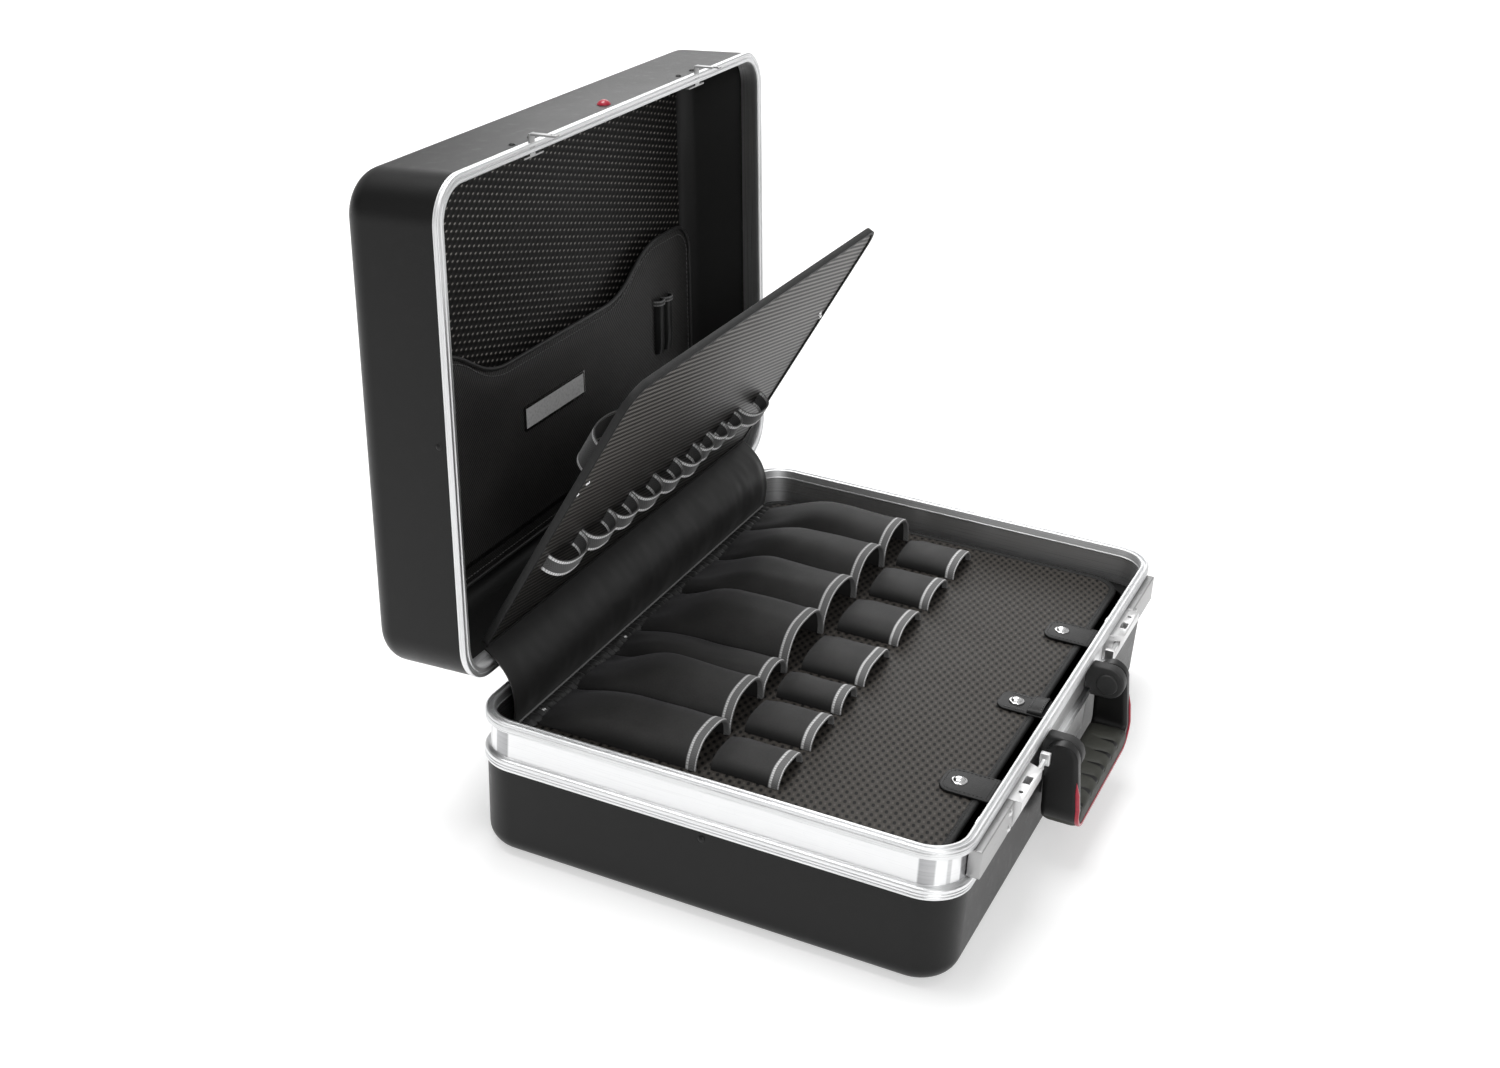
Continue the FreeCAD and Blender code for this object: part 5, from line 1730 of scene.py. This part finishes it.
@dataclass
class Handle:
    """The carrying handle: a stiff bow, its soft grip, its red inlay and the caps it turns in."""

    half: float = 70.0
    thick: float = 8.5
    front: float = -205.4
    back: float = -178.8
    axis: Flat = (-189.2, 85.0)
    head: float = 12.0
    low: float = 31.0
    corner: float = 10.5
    bar: float = 16.0
    cap: Flat = (51.1, 61.1)
    cap_radius: float = 12.4
    cap_back: float = -176.3
    foot_low: float = 77.6
    foot_high: float = 93.2
    foot_back: float = -171.9
    grooves: tuple[float, ...] = (-36.0, -18.0, 0.0, 18.0, 36.0)
    groove_pitch: float = 18.0
    groove_width: float = 1.5
    groove_depth: float = 1.5
    swell: float = 0.5

    def stations(self) -> list[Station]:
        """Give the bow's stations from the left head round to the right one."""
        y, z = self.axis
        arm, side = self.half - self.thick / 2, (-1, 0)
        bar_z, turn_x = self.low + self.bar / 2, self.corner - arm
        turn_z = bar_z + self.corner
        left: list[Station] = []
        for k in range(9):
            turn = math.radians(90 - 90 * k / 8)
            reach, rise = self.head * math.cos(turn), self.head * math.sin(turn)
            left.append(Station(-arm, z + rise, side, self.thick / 2, y - reach, y + reach))
        for k in range(1, 12):
            share = k / 11
            front = blend(y - self.head, self.front, share)
            back = blend(y + self.head, self.back + 1.4 * (1 - share), ease(share * 3))
            at = blend(z, turn_z, share)
            left.append(Station(-arm, at, side, self.thick / 2, front, back))
        for k in range(1, 10):
            turn = math.radians(9 * k)
            across, down = math.cos(turn), math.sin(turn)
            middle = turn_x - self.corner * across, turn_z - self.corner * down
            half = blend(self.thick, self.bar, k / 10) / 2
            left.append(Station(*middle, (-across, -down), half, self.front, self.back))
        for k in range(13):
            x = blend(turn_x, 0.0, k / 12)
            left.append(Station(x, bar_z, (0, -1), self.bar / 2, self.front, self.back))
        return left + [at.mirrored() for at in reversed(left[:-1])]

    def sweep(
        self, name: str, path: Sequence[Station], ring: Callable[[Station], list[Flat]]
    ) -> Piece:
        """Draw a closed ring along stations.

        Args:
            name: The piece's name.
            path: The stations.
            ring: Gives the ring's points at a station as places out of the bow and along Y.

        Returns:
            The piece.
        """
        rings = [ring(at) for at in path]
        count = len(rings[0])

        def place(run: float, turn: float) -> Point:
            i = round(run * (len(path) - 1))
            out, y = rings[i][round(turn * count) % count]
            at = path[i]
            return at.x + at.out[0] * out, y, at.z + at.out[1] * out

        return Piece.sheet(name, len(path) - 1, count, place).outwards()

    def bow(self) -> None:
        """Mould the bow, its heads round about the axis."""
        unit = rounded_box((-1, -1), (1, 1), 0.34, 0.34, 7)
        piece = self.sweep("handle_bow", self.stations(), lambda at: at.ring(unit))
        piece.finish(Body.HANDLE, BLACK, "black_plastic", "handle_core", smooth=60)

    def fine_path(self) -> list[Station]:
        """Give the stations of the bar, close together."""
        path = [at for at in self.stations() if at.z < self.low + self.bar / 2 + 5.0]
        fine: list[Station] = []
        for a, b in zip(path, path[1:]):
            steps = max(1, round(abs(b.x - a.x) / 0.8))
            for k in range(steps):
                share = k / steps
                out = tuple(Vector(a.out).lerp(Vector(b.out), share).normalized())
                x, z, half = (
                    blend(*ends, share) for ends in ((a.x, b.x), (a.z, b.z), (a.half, b.half))
                )
                fine.append(Station(x, z, out, half, a.front, a.back))
        return [*fine, path[-1]]

    def grip(self) -> None:
        """Mould the soft grip round the bar, with finger grooves across its upper front."""
        path = self.fine_path()
        unit = rounded_box((-1, -1), (1, 1), 0.5, 0.5, 14)

        def ring(at: Station) -> list[Flat]:
            end = min(abs(at.x - path[0].x), abs(at.x - path[-1].x))
            proud = -0.5 + 1.5 * ease(end / 3.0)
            swell = self.swell * math.cos(at.x * 2 * math.pi / self.groove_pitch + math.pi)
            points = []
            for (a, b), (out, y) in zip(unit, at.ring(unit)):
                upper = ease((-a - 0.1) * 1.4) * ease((0.75 - b) * 1.1)
                bow = 4.2 * (b + 0.35) ** 2 - 2.0
                places = ((at.x - groove + bow) / self.groove_width for groove in self.grooves)
                cut = self.groove_depth * sum(math.exp(-(place ** 2)) for place in places)
                points.append((out + a * proud + upper * (cut - swell), y + b * proud * 0.6))
            return points

        piece = self.sweep("handle_grip_sleeve", path, ring)
        piece.finish(Body.HANDLE, RUBBER, "grip_rubber", "handle_grip", smooth=60)

    def inlay(self) -> None:
        """Lay the red strip along the bow's outer front edge."""
        path = [at for at in self.stations() if at.z < self.axis[1] - 12]
        profile = [
            (0.3, 1.6), (0.35, 0.6), (-0.2, -0.7), (-1.2, -1.1), (-5.4, -1.0), (-5.9, 0.4),
            (-2.2, 0.7), (-0.7, 1.8),
        ]

        def ring(at: Station) -> list[Flat]:
            end = min(path.index(at), len(path) - 1 - path.index(at))
            size = min(1.0, 0.02 + end / 3)
            slim = size * blend(0.42, 0.30, ease((at.z - self.low - self.bar / 2) / 12))
            out, front = at.half + 0.3, at.front + 0.6
            return [(out + (a - 0.3) * slim, front + (b - 0.6) * size) for a, b in profile]

        piece = self.sweep("handle_red_strip", path, ring).soften(0.2, 2, 30)
        piece.finish(Body.HANDLE, RED, "red_plastic", "handle_inlay", smooth=50)

    def caps(self) -> None:
        """Mould the two caps on the frame that the handle turns in."""
        (y, z), r = self.axis, self.cap_radius
        turns = [math.radians(angle) for angle in range(90, 271, 10)]
        outline = [(y + r * math.cos(turn), z + r * math.sin(turn)) for turn in turns]
        outline += [
            (self.cap_back, z - r), (self.cap_back, self.foot_low),
            (self.foot_back, self.foot_low), (self.foot_back, self.foot_high),
            (self.cap_back, z + r),
        ]
        start, end = self.cap
        cap = Piece.plate("handle_cap", [(start, *p) for p in outline], (end - start, 0, 0))
        cap.soften(1.8, 4, 60)
        face = y, z - 0.5
        disc = Piece.rod("disc", (start + 3, *face), (start - 1.6, *face), r * 0.64, 40)
        cap.join(disc.soften(1.0, 3, 60)).mirrored()
        cap.finish(Body.BASE, CAP, "black_plastic", "handle_bosses")

    def build(self) -> None:
        """Make the handle and its caps."""
        self.bow()
        self.grip()
        self.inlay()
        self.caps()


@dataclass
class SoftTabs:
    """The sewn tab in the middle of the base board and the pen tubes on the document pocket."""

    width: float = 26.0
    ends: Flat = (-160.0, -123.0)
    slot: Flat = (-158.0, -147.0)
    band: float = 24.8
    band_height: float = 4.6
    stitch: float = 2.6
    pens: tuple[float, ...] = (161.0, 175.0)
    pen_width: float = 12.0
    pen_height: float = 5.2
    pen_ends: Flat = (106.0, 152.0)
    pen_out: float = 2.6

    def tab(self) -> None:
        """Sew the tab: a tongue below, and a short band over its front that leaves a slot."""
        tongue = strap_end("tab_tongue", 0.0, self.width, self.ends, 1.1)
        tunnel = Tunnel(0.0, self.band, self.band_height, *self.slot, 4.0)
        start, end = self.slot

        def place(share: float, run: float) -> Point:
            x, z = tunnel.arch(share, self.band_height - 0.8 * run)
            return x, blend(start, end, run), BOARD_TOP + 2.4 + z

        band = Piece.sheet("tab_band", 28, 8, place, (30.0, end - start)).thicken(1.0)
        tongue.join(band).finish(Body.BASE, STRAP, "pocket_fabric", "board_tab", smooth=50)
        rows = []
        for y in (1.2, end - start - 1.2):
            line = [place(0.08 + 0.84 * k / 20, y / (end - start)) for k in range(21)]
            rows += along([Vector(at) + Vector((0, 0, 0.1)) for at in line], self.stitch)
        for side in (-1, 1):
            x, z = side * (self.band / 2 - 2), BOARD_TOP + 2.6
            seam = [Vector((x, y, z)) for y in (end + 2, self.ends[1] - 6)]
            rows += along(seam, self.stitch)
        stitches("tab_stitches", rows, 1.6, 0.5).finish(Body.BASE, THREAD, "pocket_fabric")

    def pen_tubes(self) -> None:
        """Sew two pen tubes with a bound mouth onto the right ear of the document pocket."""
        lid = LidInside()
        low, high = self.pen_ends
        wide, tall = self.pen_width, self.pen_height
        tubes, bands = [], []
        for i, middle in enumerate(self.pens):
            tunnel = Tunnel(middle, wide, tall, high, low, 3.0 * i, 0.75, 0.25, 5.0)
            tube = Piece.sheet(f"pen_tube_{i}", 24, 30, tunnel.place, (20.0, high - low))
            tubes.append(tube.thicken(0.9))
            rim = Tunnel(middle, wide + 0.6, tall + 0.4, high + 0.4, high - 4.0, 3.0 * i)
            band = Piece.sheet(f"pen_rim_{i}", 24, 4, rim.place, (20.0, 4.4))
            bands.append(band.thicken(0.7, 1.0))
        tube = lid.lay(merged(tubes), self.pen_out)
        tube.finish(Body.LID, STRAP, "pocket_leather", "pen_loops", smooth=50)
        band = lid.lay(merged(bands), self.pen_out)
        band.finish(Body.LID, PEN_TAPE, "grey_tape", smooth=50)

    def build(self) -> None:
        """Make the tab and the tubes."""
        self.tab()
        self.pen_tubes()


@dataclass
class CardWindow:
    """The film window low on the document pocket, with the bare card behind it."""

    lo: Flat = (-58.0, 112.0)
    hi: Flat = (34.0, 132.0)
    out: float = 3.0
    film: float = 0.9

    def sheet(self, name: str, inset: float, thick: float, radius: float) -> Piece:
        """Cut a sheet of the window's size, drawn in by an inset."""
        (x0, y0), (x1, y1) = self.lo, self.hi
        lo, hi = (x0 + inset, y0 + inset), (x1 - inset, y1 - inset)
        outline = rounded_box(lo, hi, radius, radius, 5)
        return Piece.plate(name, raised(outline, 0.0), (0, 0, thick))

    def build(self) -> None:
        """Cut the card, its film and the film's welded edge."""
        lid = LidInside()
        card = self.sheet("bare_card", 1.6, 0.5, 0.6).soften(0.1, 1)
        lid.lay(card, self.out).finish(Body.LID, CARD, "card_plastic", "card_holder")
        frame = self.sheet("window_edge", 0.0, self.film, 2.0)
        frame.pick(lambda at, way: way.z > 0.9).inset(2.2)
        middle = Vector((*((a + b) / 2 for a, b in zip(self.lo, self.hi)), self.film))
        frame.pick(lambda at, way: way.z > 0.9 and (at - middle).length < 1).inset(0.3, -0.55)
        frame = lid.lay(frame.soften(0.15, 2), self.out - 0.35)
        frame.finish(Body.LID, FILM_EDGE, "card_plastic")


@dataclass
class Fittings:
    """The small hard parts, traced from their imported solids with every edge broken."""

    hasp: Point = (124.0, -181.2, 106.6)
    tongue: Point = (5.0, 1.4, 20.9)
    edge: float = 4.0
    ear: Point = (13.0, 8.0, 5.6)
    notch: Flat = (88.8, 93.0)
    notch_wall: float = 1.6
    ear_y: float = -165.6

    def build(self, nodes: Nodes) -> None:
        """Trace and dress every small hard part."""
        plan: tuple[tuple[str, Body, Finish, str, float], ...] = (
            ("latch_plates", Body.BASE, BRUSHED, "satin_metal", 0.7),
            ("latch_housing_right", Body.BASE, SATIN, "satin_metal", 0.6),
            ("latch_housing_left", Body.BASE, SATIN, "satin_metal", 0.6),
            ("latch_slide_right", Body.LATCH_RIGHT, SATIN, "satin_metal", 0.5),
            ("latch_slide_left", Body.LATCH_LEFT, SATIN, "satin_metal", 0.5),
            ("name_plate", Body.BASE, BRUSHED, "satin_metal", 0.35),
            ("handle_bracket", Body.BASE, SMOOTH_GREY, "bracket_grey", 0.4),
            ("board_clips", Body.BASE, BRIGHT, "bright_steel", 0.3),
            ("hinge_leaf_base", Body.BASE, SATIN, "bright_steel", 0.3),
            ("hinge_leaf_lid", Body.LID, SATIN, "bright_steel", 0.3),
            ("board_ledge", Body.BASE, LEDGE, "ledge_plastic", 0.4),
        )
        for name, body, finish, slot, width in plan:
            piece = Piece.traced(f"{name}_dressed", nodes[name])
            piece.soften(width, 3, 35).finish(body, finish, slot, name)
        self.hasps()

    def hasps(self) -> None:
        """Bend the hasps of sheet: an ear in the lid, a foot over its rim, a notched tongue."""
        x, y, z = self.hasp
        wide, wall, tall = self.tongue
        left, right, top = x + self.edge - wide, x + self.edge, z + 0.5 + wall
        low, high = self.notch
        bottom, inner, face = top - tall, right - self.notch_wall, y - wall / 2
        line = [
            (left, bottom), (right, bottom), (right, top), (left, top), (left, high),
            (inner, high), (inner, low), (left, low),
        ]
        tongue = Piece.plate("hasps", [(a, face, b) for a, b in line], (0, wall, 0))
        lo, hi = (left - 1, face + 0.01, top - wall), (right + 1, self.ear_y, top)
        foot = Piece.block("foot", lo, hi)
        wide, slim, deep = self.ear
        plate = [
            (x - wide, top - wall), (x + wide, top - wall), (x + slim, top + deep),
            (x - wide, top + deep),
        ]
        ear = Piece.plate(
            "ear", [(a, self.ear_y - wall, b + 0.01) for a, b in plate], (0, wall, 0)
        )
        tongue.soften(0.25, 2, 35).join(foot.soften(0.3, 2, 35), ear.soften(0.3, 2, 35))
        tongue.mirrored().open_lid().finish(Body.LID, BRUSHED, "satin_metal", "lid_hasps")


def build_case(nodes: Nodes) -> None:
    """Build and dress every sub-assembly of the case."""
    Shell("shell_base", "base_shell", (243.3, 174.1), 28.8, 2.2, 74.8, 0.0, 14.0).build()
    Shell("shell_lid", "lid_shell", (244.6, 175.4), 30.1, 1.2, 110.7, 181.8, 17.0, lid=True).build()
    parts = (Frames, BaseBoard, Pockets, Ruffle, Spine, ToolPanel, LidInside, Handle, SoftTabs)
    for part in (*parts, CardWindow):
        part().build()
    Fittings().build(nodes)
    dress(nodes, BRIGHT, "panel_rivets", "hinge_rivets_base", "hinge_rivets_lid")
    dress(nodes, SATIN, "hinge_pin", "latch_rivets")
    dress(nodes, BLACK, "hasp_rivets", "side_rivets_base", "side_rivets_lid")
    dress(nodes, STEEL, "handle_pins")
    dress(nodes, RED, "lid_plug")


@dataclass
class Studio:
    """Floor, soft light and camera, none of them part of the case.

    The camera's place is in millimetres and its angles in degrees; all come from the photograph's
    perspective. Walls gives the sky's grey by height, dark its gaps by the share of a turn.
    """

    camera_at: Point = (-1272.85, -456.24, 825.08)
    yaw: float = -66.8
    pitch: float = -21.48
    roll: float = 3.48
    focal_pixels: float = 2039.0
    picture_width: int = 1500
    shift_y: float = -0.1
    sensor: float = 36.0
    far: float = 100.0
    floor_size: float = 60.0
    floor_z: float = -0.0005
    sky: float = 0.8
    glow: float = 0.50
    gaps_end: Flat = (0.75, 0.55)
    dark: tuple[Flat, ...] = (
        (0.0, 0.10), (0.10, 0.10), (0.115, 1.0), (0.20, 1.0), (0.215, 0.2), (0.33, 0.2),
        (0.35, 1.0), (0.77, 1.0), (0.785, 0.2), (0.85, 0.2), (0.865, 1.0), (0.955, 1.0),
        (0.97, 0.10),
    )
    walls: tuple[Flat, ...] = (
        (-1.0, 1.0), (-0.02, 1.0), (0.03, 0.30), (0.15, 0.40), (0.32, 1.0), (0.6, 0.6), (1.0, 0.8),
    )
    lamps: tuple[tuple[str, Point, Point, float, float], ...] = (
        ("overhead", (0.2, 1.4, 5.6), (0.3, 0.4, 0), 3.0, 230),
        ("front_left", (-3.8, -3.2, 3.0), (0, 0, 0.2), 2.0, 70),
        ("back_right", (4.4, 1.9, 2.75), (0, 0.1, 0.3), 2.6, 56),
    )

    def camera(self) -> None:
        """Set the camera at the photograph's viewpoint."""
        yaw, pitch, roll = (math.radians(v) for v in (self.yaw, self.pitch, self.roll))
        level = Vector((-math.sin(yaw), math.cos(yaw), 0))
        ahead = level * math.cos(pitch) + Vector((0, 0, math.sin(pitch)))
        right = ahead.cross(Vector((0, 0, 1))).normalized()
        up = right.cross(ahead).normalized()
        side = right * math.cos(roll) + up * math.sin(roll)
        top = up * math.cos(roll) - right * math.sin(roll)
        turn = Matrix((side, top, -ahead)).transposed().to_4x4()
        bpy.ops.object.camera_add()
        camera = bpy.context.object
        camera.matrix_world = Matrix.Translation(Vector(self.camera_at) * MM) @ turn
        camera.data.sensor_width = self.sensor
        camera.data.lens = self.focal_pixels / self.picture_width * self.sensor
        camera.data.shift_y = self.shift_y
        camera.data.clip_end = self.far
        bpy.context.scene.camera = camera

    def surround(self) -> None:
        """Paint the studio's pale walls and the dark gaps between its panels."""
        world = bpy.data.worlds.new("studio")
        bpy.context.scene.world = world
        world.use_nodes = True
        back = world.node_tree.nodes["Background"]
        back.inputs["Strength"].default_value = self.sky
        paint = Paint(world.node_tree)
        x, y, z = paint.split(paint.node("ShaderNodeTexCoord", {}, {}, "Generated"))
        stops = [((height + 1) / 2, level) for height, level in self.walls]
        walls = paint.ramp(stops, z.spread(-1.0, 1.0))
        gaps = paint.ramp(self.dark, y.angle(x).spread(-math.pi, math.pi))
        both = paint.mix(walls, gaps, z.spread(*self.gaps_end), "MULTIPLY")
        paint.tree.links.new(both.link, back.inputs["Color"])

    def light(self) -> None:
        """Light the case as a white studio does, with large soft panels."""
        for name, at, aim, size, power in self.lamps:
            bpy.ops.object.light_add(type="AREA", location=at)
            lamp = bpy.context.object
            lamp.name = name
            lamp.data.shape = "RECTANGLE"
            lamp.data.size = lamp.data.size_y = size
            lamp.data.energy = power
            way = Vector(aim) - Vector(at)
            lamp.rotation_euler = way.to_track_quat("-Z", "Y").to_euler()
        view = bpy.context.scene.view_settings
        view.view_transform = "Standard"
        view.look = "None"

    def floor(self) -> None:
        """Lay a plain pale floor."""
        bpy.ops.mesh.primitive_plane_add(size=self.floor_size, location=(0, 0, self.floor_z))
        floor = bpy.context.object
        floor.name = "floor"
        paint = bpy.data.materials.new("floor")
        paint.use_nodes = True
        coat = paint.node_tree.nodes["Principled BSDF"].inputs
        coat["Base Color"].default_value = grey(0.62)
        coat["Roughness"].default_value = 0.6
        coat["Emission Color"].default_value = grey(1.0)
        coat["Emission Strength"].default_value = self.glow
        floor.data.materials.append(paint)

    def build(self) -> None:
        """Set up the whole studio."""
        self.camera()
        self.surround()
        self.light()
        self.floor()


def main() -> None:
    """Build the case and its studio."""
    logging.basicConfig(level=logging.INFO, format="%(message)s")
    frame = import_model()
    build_case(frame["nodes"])
    Studio().build()


if __name__ == "__main__":
    main()
